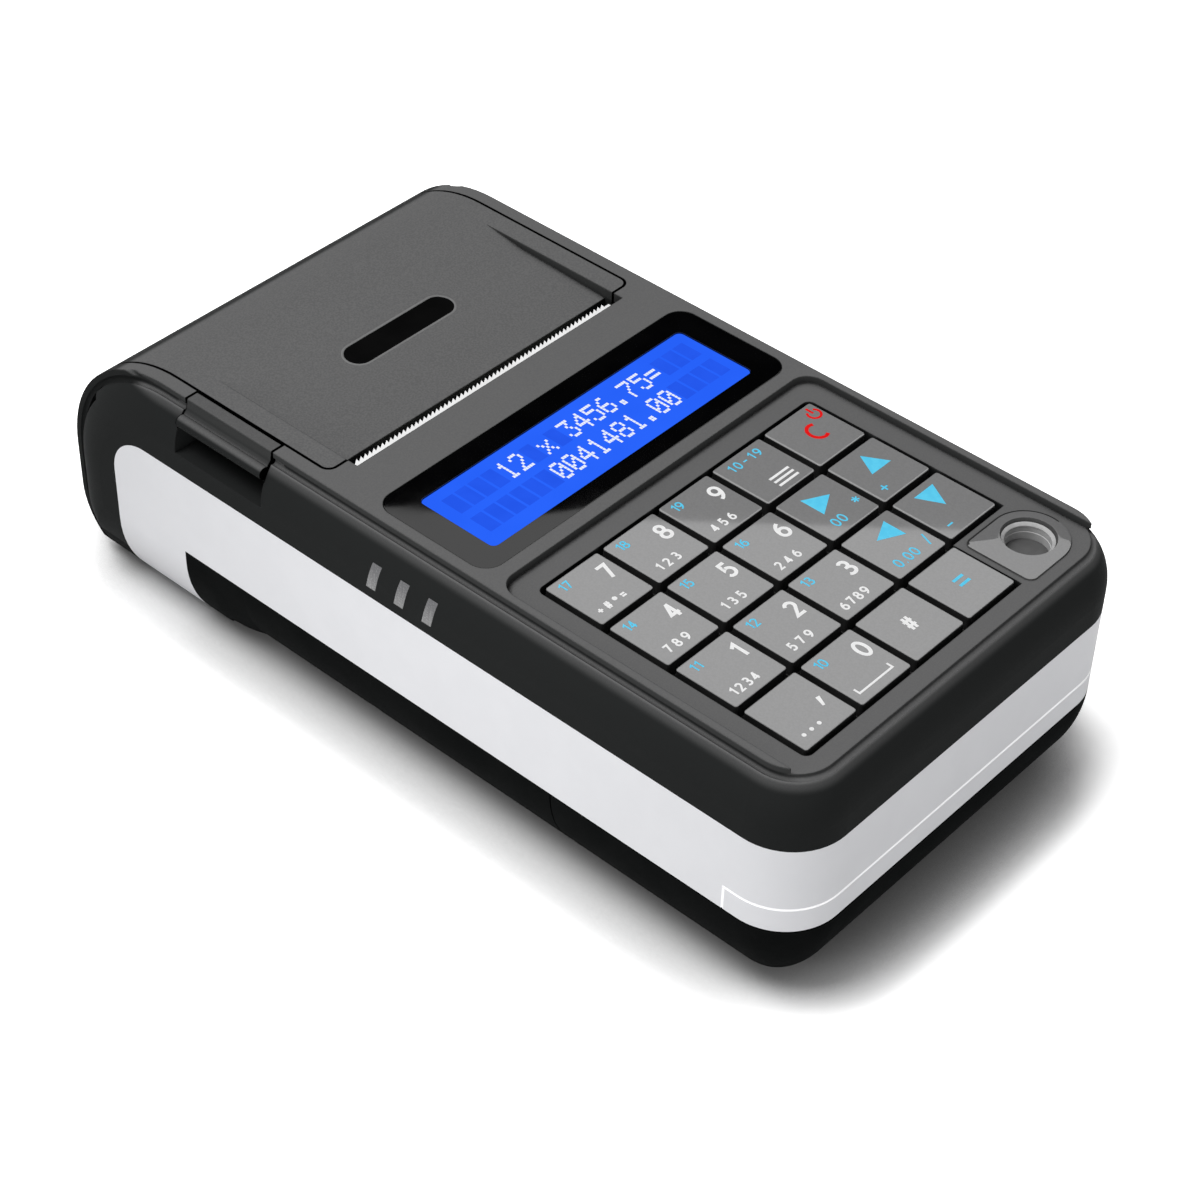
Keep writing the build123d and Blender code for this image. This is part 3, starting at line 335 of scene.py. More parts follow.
def settle(name, shape):
    """Turn a shape into a mesh with its faces outwards and its sharp edges crisp."""
    bmesh.ops.remove_doubles(shape, verts=shape.verts, dist=1e-7)
    bmesh.ops.recalc_face_normals(shape, faces=shape.faces)
    for edge in shape.edges:
        edge.smooth = len(edge.link_faces) == 2 and edge.calc_face_angle() < math.radians(32)
    for face in shape.faces:
        face.smooth = True
    mesh = bpy.data.meshes.new(name)
    shape.to_mesh(mesh)
    shape.free()
    return mesh


def even_out(made):
    """Keep broad flat faces flat beside their rounded edges."""
    even = made.modifiers.new("even", "WEIGHTED_NORMAL")
    even.keep_sharp = True


def piece(name, mesh, material, body, stands_for=()):
    """A piece of the register that rides on a body and may stand for CAD nodes."""
    made = bpy.data.objects.new(name, mesh)
    bpy.context.scene.collection.objects.link(made)
    mesh.materials.append(material)
    even_out(made)
    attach(made, body)
    if stands_for:
        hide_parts(*stands_for)
    return made


def tube_loops(path, radius, sides=8):
    """Rings of points round a path of (place, first axis, second axis)."""
    loops = []
    for place, first, second in path:
        loop = []
        for n in range(sides):
            angle = 2 * math.pi * n / sides
            outward = math.cos(angle) * Vector(first) + math.sin(angle) * Vector(second)
            loop.append(Vector(place) + radius * outward)
        loops.append(loop)
    return loops


def strip_bead():
    """Path of the bead: up the left end of the strip, round the front and down the right end."""
    reach = side_x - bead_radius
    bend = side_x - front_corner
    path = [((-reach, strip_end_y, bead_low), (-1, 0, 0), (0, -1, 0))]
    path.append(((-reach, strip_end_y, strip_top_z - bead_turn), (-1, 0, 0), (0, -1, 0)))
    path.append(((-reach, strip_end_y - bead_turn, strip_top_z), (-1, 0, 0), (0, 0, 1)))
    for step in range(13):
        angle = math.radians(180 + 90 * step / 12)
        outward = (math.cos(angle), math.sin(angle), 0)
        x = -bend + (front_corner - bead_radius) * outward[0]
        y = front_y + front_corner + (front_corner - bead_radius) * outward[1]
        path.append(((x, y, strip_top_z), outward, (0, 0, 1)))
    mirrored = [((-p[0], p[1], p[2]), (-f[0], f[1], f[2]), s) for p, f, s in reversed(path)]
    return path + mirrored


bead = skin("port_bead", tube_loops(strip_bead(), bead_radius))
piece("port_bead", bead, bead_finish, "port_cover")

# ---- Upper case -----------------------------------------------------------------------------
# One dark moulding with a fine spark texture: top face, shoulders and the rolled rear end. Faces that turn
# up are painted a lighter mid grey than the nearly black walls, painted light, and hollows are painted
# darker, painted shade. It is screwed to the lower case from below.
# Painted light and shade: the lighter top colour, the lighter grey of the walls near the top, and the black
# of hollows and low recesses.
painted_lit_top_grey = (0.128, 0.128, 0.129)
painted_lit_top_grey_worn = (0.14, 0.14, 0.14)
wall_black = (0.017, 0.018, 0.018)
painted_light_valley_grey = (0.042, 0.043, 0.043)
soft_edge = 0.9
hollow_size = 2.0
painted_hollow_shade = (0.008, 0.0085, 0.0085)
painted_shade_below = 50.5
painted_light_above = 52.0
valley_from = 52.4
valley_to = 53.4
door_joint_x = 41.15
door_joint_y = 23.35
door_joint_corner = 2.0
lever_joints_y = (34.95, 58.25)
lever_joint_x = -41.3
lever_joint_low = 49.3
joint_dark = 0.24
joint_clear = 0.36
tint_end = 0.99


def joint_shade(tree, place):
    """One in the dark joints round the paper door and at the ends of its lever, and nought elsewhere."""
    x, y, z = add(tree, "SeparateXYZ", Vector=place).outputs
    corner = door_joint_corner * mm
    aside = worked(tree, "SUBTRACT", worked(tree, "ABSOLUTE", x), door_joint_x * mm - corner)
    ahead = worked(tree, "SUBTRACT", door_joint_y * mm + corner, y)
    flat = add(tree, "CombineXYZ", X=worked(tree, "MAXIMUM", aside, 0.0),
               Y=worked(tree, "MAXIMUM", ahead, 0.0))
    reach_out = add(tree, "VectorMath", {"operation": "LENGTH"}, Vector=flat.outputs[0]).outputs["Value"]
    off_door = worked(tree, "ABSOLUTE", worked(tree, "SUBTRACT", reach_out, corner))
    ends = [worked(tree, "ABSOLUTE", worked(tree, "SUBTRACT", y, end * mm)) for end in lever_joints_y]
    off_lever = worked(tree, "MINIMUM", *ends)
    beside = worked(tree, "LESS_THAN", x, lever_joint_x * mm)
    raised = worked(tree, "GREATER_THAN", z, lever_joint_low * mm)
    elsewhere = worked(tree, "SUBTRACT", 1.0, worked(tree, "MULTIPLY", beside, raised))
    off_lever = worked(tree, "ADD", off_lever, elsewhere)
    nearest = worked(tree, "MINIMUM", off_door, off_lever)
    return spread(tree, nearest, joint_dark * mm, joint_clear * mm, 1.0, 0.0)


def shell_finish(name, top, worn, tint_start, speck):
    """Spark-textured shell, black on its walls and painted lighter where it faces up past the tint's start
    and towards the walls' top edge, painted light; painted darker in hollows and low recesses, painted shade.
    """
    material, tree, shader = start_finish(name)
    place = add(tree, "TexCoord").outputs["Object"]
    softened = add(tree, "Bevel", {"samples": 8}, Radius=soft_edge * mm).outputs["Normal"]
    own_way = {"vector_type": "NORMAL", "convert_from": "WORLD", "convert_to": "OBJECT"}
    turned = add(tree, "VectorTransform", own_way, Vector=softened).outputs["Vector"]
    upward = add(tree, "SeparateXYZ", Vector=turned).outputs["Z"]
    height = add(tree, "SeparateXYZ", Vector=place).outputs["Z"]
    # Painted light: faces turned up and raised above the recess floor take the lighter top colour.
    face = mixed(tree, spread(tree, noise(tree, place, speck, 3.0), 0.35, 0.65, 0.0, 1.0), top, worn)
    raised = spread(tree, height, painted_shade_below * mm, painted_light_above * mm, 0.0, 1.0)
    share = worked(tree, "MULTIPLY", spread(tree, upward, tint_start, tint_end, 0.0, 1.0), raised)
    # Painted shade: hollows found by ambient occlusion are painted near black; the walls are painted lighter
    # towards the top edge.
    hollow = add(tree, "AmbientOcclusion", {"samples": 6}, Distance=hollow_size * mm).outputs["AO"]
    valley = spread(tree, height, valley_from * mm, valley_to * mm, 0.0, 1.0)
    sides = mixed(tree, valley, wall_black, painted_light_valley_grey)
    painted_lit_tint = mixed(tree, share, sides, face)
    plain = mixed(tree, spread(tree, hollow, 0.3, 0.8, 0.0, 1.0), painted_hollow_shade, painted_lit_tint)
    tree.links.new(mixed(tree, joint_shade(tree, place), plain, (0.0, 0.0, 0.0)), shader.inputs["Base Color"])
    surface(tree, shader, place, 0.22, 0.3, 0.5, 0.62, 0.18)
    shader.inputs["Specular IOR Level"].default_value = 0.015
    return material


shell = shell_finish("dark_shell", painted_lit_top_grey, painted_lit_top_grey_worn, 0.28, 0.3)
finish_nodes(shell, "upper_case")

# ---- Tear bar -------------------------------------------------------------------------------
# A serrated bar of hard white plastic, snapped into the front of the paper slot by a flange under the top
# face. Its teeth lean towards the keypad's right.
bar_white = (0.84, 0.84, 0.84)
bar_white_worn = (0.9, 0.9, 0.9)
# Painted highlight: the bar glows faintly white of its own.
bar_painted_glow = 0.06
bar_finish = plain_finish("bright_bar", bar_white, bar_white_worn, 0.4, 0.1, (0.2, 0.3), 0.05, patch=2.0)
glowing(bar_finish, bar_painted_glow)
bar_left = -36.3
bar_right = 33.0
bar_front = 20.8
bar_valley = 21.5
bar_flange_front = 15.8
bar_flange_half = 34.65
bar_under = 51.7
bar_web = 0.6
bar_flange_thick = 0.8
bar_low = 54.0
bar_top = 54.92
tooth_count = 62
tooth_lean = 1.3
tooth_reach = 0.9


def small_box(shape, x0, x1, y0, y1, z0, z1):
    """Add a small block to a shape."""
    corners = [(x, y, z) for z in (z0, z1) for x, y in ((x0, y0), (x1, y0), (x1, y1), (x0, y1))]
    verts = [shape.verts.new(Vector(corner) * mm) for corner in corners]
    for face in ((0, 1, 2, 3), (4, 5, 6, 7), (0, 1, 5, 4), (1, 2, 6, 5), (2, 3, 7, 6), (3, 0, 4, 7)):
        shape.faces.new([verts[n] for n in face])


tooth_pitch = (bar_right - tooth_lean - bar_left) / tooth_count
bar_outline = [(bar_right, bar_front), (bar_left, bar_front), (bar_left, bar_valley)]
for tooth in range(tooth_count):
    valley_x = bar_left + tooth * tooth_pitch
    bar_outline += [(valley_x + tooth_lean, bar_valley + tooth_reach), (valley_x + tooth_pitch, bar_valley)]
bar_outline.append((bar_right, bar_valley))
bar_mesh = skin("tear_edge", [[(x, y, z) for x, y in bar_outline] for z in (bar_low, bar_top)])
piece("tear_edge", bar_mesh, bar_finish, "case", ["tear_bar"])
flange = bmesh.new()
small_box(flange, bar_left, bar_right, bar_front, bar_front + bar_web, bar_under, bar_low)
small_box(flange, -bar_flange_half, bar_flange_half, bar_flange_front, bar_front, bar_under,
          bar_under + bar_flange_thick)
piece("tear_flange", settle("tear_flange", flange), bar_finish, "case")

# ---- Window and display ---------------------------------------------------------------------
# A gloss black window is glued into its pocket flush with the top face. The blue display shows through
# its opening: two rows of twenty cells, each of five by seven dots.
window_length = 83.8
window_width = 27.9
window_y = -3.1
window_corner = 4.0
window_low = 53.4
window_top = 54.9
window_edge = 0.12
window_ior = 1.62
view_gap = 0.12
view_length = 71.6
view_width = 18.6
view_y = -3.6
view_corner = 1.3
view_top = 54.82
view_edge = 0.35
glass_length = 73.6
glass_width = 20.6
glass_corner = 0.8
glass_low = 50.6
glass_top = window_low - 0.02
cell_pitch = 3.34
cell_length = 2.8
cell_width = 5.2
first_cell_x = -32.93
row_tops = (2.9, -4.3)
row_words = ("    12 x 3456.75=   ", "      0041481.00    ")
dot_pitch = (0.56, 0.74)
dot_size = (0.47, 0.64)
sign_low = view_top - 0.05
cell_top = view_top + 0.01
dot_top = view_top + 0.02
dot_rows = {
    "0": "01110 10001 10011 10101 11001 10001 01110",
    "1": "00100 01100 00100 00100 00100 00100 01110",
    "2": "01110 10001 00001 00010 00100 01000 11111",
    "3": "11111 00010 00100 00010 00001 10001 01110",
    "4": "00010 00110 01010 10010 11111 00010 00010",
    "5": "11111 10000 11110 00001 00001 10001 01110",
    "6": "00110 01000 10000 11110 10001 10001 01110",
    "7": "11111 00001 00010 00100 01000 01000 01000",
    "8": "01110 10001 10001 01110 10001 10001 01110",
    ".": "00000 00000 00000 00000 00000 01100 01100",
    "x": "00000 00000 10001 01010 00100 01010 10001",
    "=": "00000 00000 11111 00000 11111 00000 00000",
}


def rounded(length, width, radius, x, y, z, steps=8):
    """Points round a flat rectangle with rounded corners."""
    radius = min(radius, 0.499 * length, 0.499 * width)
    points = []
    for quarter, (side, end) in enumerate(((1, 1), (-1, 1), (-1, -1), (1, -1))):
        for step in range(steps + 1):
            angle = math.radians(90 * quarter + 90 * step / steps)
            corner_x = x + side * (length / 2 - radius)
            corner_y = y + end * (width / 2 - radius)
            points.append((corner_x + radius * math.cos(angle), corner_y + radius * math.sin(angle), z))
    return points


def slab_loops(length, width, corner, x, y, low, top, edge):
    """Loops of a flat slab whose upper edge is rounded by that radius."""
    loops = [rounded(length, width, corner, x, y, low)]
    for step in range(5):
        angle = math.radians(90 * step / 4)
        inset = edge * (1 - math.cos(angle))
        z = top - edge + edge * math.sin(angle)
        loops.append(rounded(length - 2 * inset, width - 2 * inset, max(corner - inset, 0.05), x, y, z))
    return loops


def lit_finish(name, dim, bright, patch, unlit):
    """A lit part of the display: mottled light between two close colours, over its colour when unlit."""
    material, tree, shader = start_finish(name)
    place = add(tree, "TexCoord").outputs["Object"]
    share = spread(tree, noise(tree, place, patch), 0.3, 0.7, 0.0, 1.0)
    tree.links.new(mixed(tree, share, dim, bright), shader.inputs["Emission Color"])
    shader.inputs["Emission Strength"].default_value = 1.0
    shader.inputs["Base Color"].default_value = (*unlit, 1)
    shader.inputs["Specular IOR Level"].default_value = 0.05
    return material


gloss_black = (0.0012, 0.0012, 0.0014)
gloss_black_worn = (0.002, 0.002, 0.0022)
gloss = plain_finish("gloss_black", gloss_black, gloss_black_worn, 8.0, 0.02, (0.02, 0.04), 0.05)
gloss.node_tree.nodes["Principled BSDF"].inputs["IOR"].default_value = window_ior
window_loops = slab_loops(window_length, window_width, window_corner, 0, window_y, window_low, window_top,
                          window_edge)
opening = rounded(view_length + view_gap, view_width + view_gap, view_corner, 0, view_y, window_top)
window_loops.append(opening)
window_loops.append([(x, y, window_low) for x, y, z in opening])
window_mesh = skin("window_frame", window_loops, ring=True)
piece("window_frame", window_mesh, gloss, "case", ["display_window"])

screen_blue = (0.016, 0.113, 0.915)
screen_blue_bright = (0.019, 0.124, 0.955)
screen_finish = lit_finish("display", screen_blue, screen_blue_bright, 16.0, (0.001, 0.003, 0.02))
view_loops = [rounded(glass_length, glass_width, glass_corner, 0, view_y, z) for z in (glass_low, glass_top)]
view_loops += slab_loops(view_length, view_width, view_corner, 0, view_y, glass_top, view_top, view_edge)
screen_mesh = skin("display_screen", view_loops)
piece("display_screen", screen_mesh, screen_finish, "case", ["display_glass"])

cells = bmesh.new()
dots = bmesh.new()
for row_top, words in zip(row_tops, row_words):
    for place, sign in enumerate(words):
        left = first_cell_x + place * cell_pitch
        if sign == " ":
            small_box(cells, left, left + cell_length, row_top - cell_width, row_top, sign_low, cell_top)
            continue
        for down, bits in enumerate(dot_rows[sign].split()):
            for along, bit in enumerate(bits):
                if bit == "1":
                    x = left + along * dot_pitch[0]
                    y = row_top - down * dot_pitch[1]
                    small_box(dots, x, x + dot_size[0], y - dot_size[1], y, sign_low, dot_top)

cell_blue = (0.0135, 0.09, 0.81)
cell_blue_bright = (0.0155, 0.098, 0.85)
cell_finish = lit_finish("cell", cell_blue, cell_blue_bright, 5.0, (0.001, 0.002, 0.01))
piece("display_cells", settle("display_cells", cells), cell_finish, "case")
dot_white = (0.84, 0.89, 0.95)
dot_white_bright = (0.89, 0.92, 0.96)
dot_finish = lit_finish("dot", dot_white, dot_white_bright, 5.0, (0.001, 0.002, 0.01))
piece("display_dots", settle("display_dots", dots), dot_finish, "case")

# ---- Key mat --------------------------------------------------------------------------------
# One sheet of grey silicone, moulded with a ring round each key stem. It lies on the keypad's board and
# pushes the keys back up.
mat_grey = (0.05, 0.05, 0.055)
mat_grey_worn = (0.065, 0.065, 0.07)
mat_finish = plain_finish("mat_rubber", mat_grey, mat_grey_worn, 0.5, 0.3, (0.6, 0.75), 0.2, 0.4)
finish_nodes(mat_finish, "key_mat")

# ---- Keys -----------------------------------------------------------------------------------
# Nineteen caps of clear hard-coated plastic over grey paint. Each has a flat top with a small round
# edge, leaning sides, a flange under the case and a stem that stands on the mat. The signs are printed on
# top in white, pale blue and red ink: plain numbers and signs.
key_columns = (-30, -15, 0, 15, 30)
key_rows_y = (-32.8, -47.8, -62.8, -77.8)
key_names = (
    ("key_7", "key_8", "key_9", "key_menu", "key_clear"),
    ("key_4", "key_5", "key_6", "key_right", "key_up"),
    ("key_1", "key_2", "key_3", "key_left", "key_down"),
    ("key_comma", "key_0", "key_item", "key_total"),
)
key_top_z = 53.8
stem_across = 5
stem_low = 47.5
flange_across = 14.3
flange_corner = 0.7
flange_low = 49.8
flange_top = 50.7
skirt_across = 14.0
skirt_corner = 0.75
skirt_z = 50.8
cap_across = 13.5
cap_low = 53.2
cap_edge = 0.25
cap_corner = 0.55
cap_grey = (0.226, 0.226, 0.227)
cap_grey_worn = (0.244, 0.244, 0.245)
# Painted shade: the cap's sides are painted near black, as the gaps between the keys shade them.
painted_shade_side_black = (0.012, 0.012, 0.012)
painted_shade_side_black_worn = (0.02, 0.02, 0.02)
ink_height = 0.02
ink_lap = 0.004
ink_colours = {
    "white": ((0.86, 0.86, 0.86), (0.9, 0.9, 0.9)),
    "blue": ((0.10, 0.60, 0.88), (0.12, 0.65, 0.92)),
    "red": ((0.75, 0.004, 0.004), (0.82, 0.006, 0.006)),
}


def cap_mesh():
    """One key cap about its own middle, from the foot of its stem to its top."""
    loops = [rounded(stem_across, stem_across, stem_across / 2, 0, 0, z) for z in (stem_low, flange_low)]
    loops += [rounded(flange_across, flange_across, flange_corner, 0, 0, z) for z in (flange_low, flange_top)]
    loops.append(rounded(skirt_across, skirt_across, skirt_corner, 0, 0, skirt_z))
    loops += slab_loops(cap_across, cap_across, cap_corner, 0, 0, cap_low, key_top_z, cap_edge)
    mesh = skin("key_cap", loops)
    for face in mesh.polygons:
        centre = face.center / mm
        # Faces below the top's edge take the sides' painted shade.
        face.material_index = 0 if centre.z > key_top_z - cap_edge * 0.95 else 1
    return mesh


def coated_finish(name, grey, worn):
    """Clear hard coat over grey paint."""
    material = plain_finish(name, grey, worn, 0.25, 0.05, (0.4, 0.5), 0.03, 0.2, 0.4)
    coat = material.node_tree.nodes["Principled BSDF"].inputs
    coat["Coat Weight"].default_value = 1.0
    coat["Coat Roughness"].default_value = 0.025
    coat["Coat IOR"].default_value = 2.0
    return material


key_paint = coated_finish("key_top", cap_grey, cap_grey_worn)
key_side_shade = plain_finish("key_side_shade", painted_shade_side_black, painted_shade_side_black_worn, 0.3, 0.1, (0.35, 0.45), 0.05, 0.3)
inks = {tone: plain_finish("ink_" + tone, dim, bright, 0.3, 0.05, (0.45, 0.55), 0.01, 0.2, 1.5)
        for tone, (dim, bright) in ink_colours.items()}


def bend(x, y, radius_x, radius_y, start, end):
    """Points along part of an ellipse, between two angles in degrees."""
    steps = max(4, int(abs(end - start) / 15))
    angles = [math.radians(start + (end - start) * n / steps) for n in range(steps + 1)]
    return [(x + radius_x * math.cos(a), y + radius_y * math.sin(a)) for a in angles]


def flip(lines):
    """Turn a sign by half a turn, as a six turns into a nine."""
    return [[(0.56 - x, 1 - y) for x, y in line] for line in lines]


six = [bend(0.58, 0.32, 0.58, 0.68, 103, 180), bend(0.28, 0.3, 0.28, 0.3, 0, 360)]
sign_lines = {
    "0": [bend(0.28, 0.5, 0.28, 0.5, 0, 360)],
    "1": [[(0.06, 0.8), (0.34, 1), (0.34, 0)]],
    "2": [bend(0.27, 0.73, 0.26, 0.27, 160, -30) + [(0.02, 0), (0.56, 0)]],
    "3": [bend(0.25, 0.76, 0.24, 0.24, 140, -90) + [(0.14, 0.52)],
          [(0.14, 0.52)] + bend(0.25, 0.26, 0.29, 0.26, 90, -145)],
    "4": [[(0.58, 0.27), (0.03, 0.27), (0.4, 1)], [(0.4, 1.04), (0.4, 0)]],
    "5": [[(0.5, 1), (0.12, 1), (0.08, 0.55)] + bend(0.25, 0.31, 0.29, 0.31, 105, -145)],
    "6": six,
    "7": [[(0, 1), (0.54, 1), (0.2, 0)]],
    "8": [bend(0.28, 0.76, 0.23, 0.24, 0, 360), bend(0.28, 0.26, 0.28, 0.26, 0, 360)],
    "9": flip(six),
    "+": [[(0, 0.45), (0.56, 0.45)], [(0.28, 0.17), (0.28, 0.73)]],
    "-": [[(0, 0.45), (0.5, 0.45)]],
    "=": [[(0, 0.3), (0.56, 0.3)], [(0, 0.62), (0.56, 0.62)]],
    "#": [[(0, 0.32), (0.62, 0.32)], [(0.04, 0.68), (0.66, 0.68)],
          [(0.13, 0), (0.25, 1)], [(0.4, 0), (0.52, 1)]],
    "*": [[(0.28, 0.4), (0.28, 0.96)], [(0.04, 0.54), (0.52, 0.82)], [(0.04, 0.82), (0.52, 0.54)]],
    "/": [[(0, -0.08), (0.42, 1.08)]],
    ".": [[(0.02, 0), (0.1, 0)]],
}


def ribbon(shape, points, width, lift=0.0):
    """Add a printed line of that width along points. A line that ends where it starts is closed."""
    closed = math.dist(points[0], points[-1]) < 1e-6
    if closed:
        points = points[:-1]
    count = len(points)
    rows = []
    for n, (x, y) in enumerate(points):
        before = points[n - 1] if n or closed else points[n]
        after = points[(n + 1) % count] if n < count - 1 or closed else points[n]
        into = Vector((x - before[0], y - before[1]))
        out = Vector((after[0] - x, after[1] - y))
        into = into.normalized() if into.length else out.normalized()
        out = out.normalized() if out.length else into
        along = (into + out).normalized()
        reach = width / 2 / max(along.dot(out), 0.5)
        side = Vector((-along.y, along.x)) * reach
        rows.append([shape.verts.new(Vector((x + sign * side.x, y + sign * side.y, z)) * mm)
                     for sign, z in ((1, key_top_z), (1, key_top_z + ink_height + lift),
                                     (-1, key_top_z + ink_height + lift), (-1, key_top_z))])
    for n in range(count if closed else count - 1):
        here, there = rows[n], rows[(n + 1) % count]
        for corner in range(4):
            shape.faces.new((here[corner], here[corner - 1], there[corner - 1], there[corner]))
    if not closed:
        shape.faces.new(rows[0])
        shape.faces.new(rows[-1])


def signs(shape, words, x, y, height, line, gap=0.3):
    """Add a row of printed figures and signs about a point, with their height and line width."""
    scale = height - line
    widths = [max(px for stroke in sign_lines[sign] for px, py in stroke) for sign in words]
    start = x - (sum(widths) * scale + (len(words) - 1) * (gap * height)) / 2
    for sign, width in zip(words, widths):
        for n, stroke in enumerate(sign_lines[sign]):
            points = [(start + px * scale, y - scale / 2 + py * scale) for px, py in stroke]
            ribbon(shape, points, line, n * ink_lap)
        start += width * scale + gap * height


def figure(shape, corners):
    """Add a printed sign with these corners to a shape."""
    low = [shape.verts.new(Vector((x, y, key_top_z)) * mm) for x, y in corners]
    high = [shape.verts.new(Vector((x, y, key_top_z + ink_height)) * mm) for x, y in corners]
    shape.faces.new(low)
    shape.faces.new(high)
    for n in range(len(low)):
        after = (n + 1) % len(low)
        shape.faces.new((low[n], low[after], high[after], high[n]))


def key_signs(name):
    """The printing of one key about its middle, one shape for each ink."""
    prints = {tone: bmesh.new() for tone in inks}
    white, blue, red = prints["white"], prints["blue"], prints["red"]
    rows = {"8": "123", "9": "456", "4": "789", "5": "135", "6": "246", "1": "1234", "2": "579", "3": "6789",
            "7": "+#*=", "0": ""}
    digit = name[4:]
    if digit in rows:
        signs(white, digit, 4.1, 1.9, 4.3, 0.72)
        signs(blue, "1" + digit, -3.9, 4.5, 2.2, 0.32, 0.25)
        if rows[digit]:
            signs(white, rows[digit], -1.4, -4.1, 2.2, 0.4, 0.6 if len(rows[digit]) == 3 else 0.42)
    if name == "key_0":
        ribbon(white, [(-4.9, -3.4), (-4.9, -4.7), (4.1, -4.7), (4.1, -3.4)], 0.42)
    elif name == "key_comma":
        figure(white, [(4.1, 0.1), (4.95, -0.1), (3.95, -2.2), (3.45, -2.05)])
        for x in (-4.2, -2.2, -0.2):
            figure(white, bend(x, -4.2, 0.42, 0.42, 0, 345))
    elif name == "key_item":
        signs(white, "#", 0.0, 0.0, 3.9, 0.6)
    elif name == "key_total":
        signs(blue, "=", 0.3, 0.4, 5.6, 0.62)
    elif name == "key_menu":
        signs(blue, "10-19", -0.2, 4.3, 2.2, 0.32, 0.45)
        for y in (-2.6, -3.8, -5.0):
            ribbon(white, [(-1.4, y), (4.0, y)], 0.55)
    elif name == "key_clear":
        ribbon(red, bend(4.7, 3.9, 1.35, 1.35, 130, 410), 0.5)
        ribbon(red, [(4.7, 4.1), (4.7, 6.0)], 0.5)
        ribbon(red, bend(1.0, 0.2, 1.9, 2.1, 60, 300), 0.75)
    elif name == "key_up":
        figure(blue, [(-2.1, -0.2), (3.5, -0.2), (0.6, 4.8)])
        signs(blue, "+", -3.6, -4.0, 3.3, 0.36)
    elif name == "key_down":
        figure(blue, [(-2.3, 5.1), (0.4, -0.2), (3.3, 5.1)])
        signs(blue, "-", -3.7, -4.0, 3.3, 0.36)
    elif name == "key_right":
        figure(blue, [(-2.2, -1.0), (3.0, 1.9), (-2.2, 4.6)])
        signs(blue, "00", -1.6, -3.9, 2.4, 0.34)
        signs(blue, "*", 5.0, -2.9, 3.2, 0.32)
    elif name == "key_left":
        figure(blue, [(3.7, 0.0), (3.7, 5.1), (-1.5, 2.6)])
        signs(blue, "0.00", -1.4, -4.0, 2.4, 0.34)
        signs(blue, "/", 5.0, -3.5, 2.8, 0.34)
    return prints


cap = cap_mesh()
cap.materials.append(key_paint)
cap.materials.append(key_side_shade)
for key_y, names in zip(key_rows_y, key_names):
    for key_x, key_name in zip(key_columns, names):
        made_cap = bpy.data.objects.new(key_name + "_cap", cap)
        bpy.context.scene.collection.objects.link(made_cap)
        made_cap.location = (key_x * mm, key_y * mm, 0)
        even_out(made_cap)
        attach(made_cap, key_name)
        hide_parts(key_name)
        for tone, shape in key_signs(key_name).items():
            if not shape.faces:
                shape.free()
                continue
            bmesh.ops.translate(shape, vec=(key_x * mm, key_y * mm, 0), verts=shape.verts)
            print_name = key_name + "_print_" + tone
            piece(print_name, settle(print_name, shape), inks[tone], key_name)

# ---- Seal panel and plug --------------------------------------------------------------------
# A panel beside the keys, in the same coated plastic, with a round well. A bright turned ring edges the
# well, and a grey plug at its bottom covers the screw that holds the case shut.
panel_left = 23.7
panel_rear = -71.85
panel_front = -86.8
panel_low = 53.35
well_x = 33.4
well_y = -79.2
panel_corner = 1.6
joint_width = 0.4
painted_shade_reach_y = -80.5
ring_low = 52.3
well_floor = 49.85
well_low = 49.6
panel_top_low = key_top_z - 0.1
panel_profile = ((5.25, key_top_z), (5.05, 53.0), (5.05, well_low + 0.1))
ring_profile = ((5.0, ring_low), (5.0, 53.0), (4.92, 53.1), (4.4, 52.75), (4.3, 52.6), (4.3, ring_low))
tube_profile = ((4.95, well_low), (4.95, 52.25), (4.32, 52.25), (4.32, 51.3), (4.2, 51.25), (4.2, well_low))
plug_profile = ((4.1, well_low), (4.1, well_floor - 0.08), (4.02, well_floor))
panel_foot = 5.8
painted_shade_from = 5.6
edge_from = key_top_z - 0.09
edge_to = key_top_z - 0.03
wall_below = key_top_z - 0.2


def panel_outline(inset, z):
    """Outline of the panel: round at the right end, two small corners at the left."""
    half = (panel_rear - panel_front) / 2
    middle = (panel_rear + panel_front) / 2
    straight_end = panel_left + panel_corner
    points = []
    for n in range(33):
        angle = math.radians(-90 + 180 * n / 32)
        x = well_x + (half - inset) * math.cos(angle)
        y = middle + (half - inset) * math.sin(angle)
        points.append((x, y, z))
    for n in range(1, 8):
        points.append((well_x + (straight_end - well_x) * n / 8, panel_rear - inset, z))
    for quarter, end in ((90, 1), (180, -1)):
        for n in range(7):
            angle = math.radians(quarter + 90 * n / 6)
            x = straight_end + (panel_corner - inset) * math.cos(angle)
            y = middle + end * (half - panel_corner) + (panel_corner - inset) * math.sin(angle)
            points.append((x, y, z))
        if end == 1:
            for n in range(1, 12):
                points.append((panel_left + inset, middle + (half - panel_corner) * (1 - n / 6), z))
    for n in range(1, 8):
        points.append((straight_end + (well_x - straight_end) * n / 8, panel_front + inset, z))
    return points


def well_circle(radius, z):
    """Points round the well, each facing its point of the outline."""
    points = []
    for x, y, _ in panel_outline(0, z):
        angle = math.atan2(y - well_y, x - well_x)
        points.append((well_x + radius * math.cos(angle), well_y + radius * math.sin(angle), z))
    return points


def well_loops(profile):
    """Loops round the well for a turned piece, from the radius and height of each."""
    return [well_circle(radius, z) for radius, z in profile]


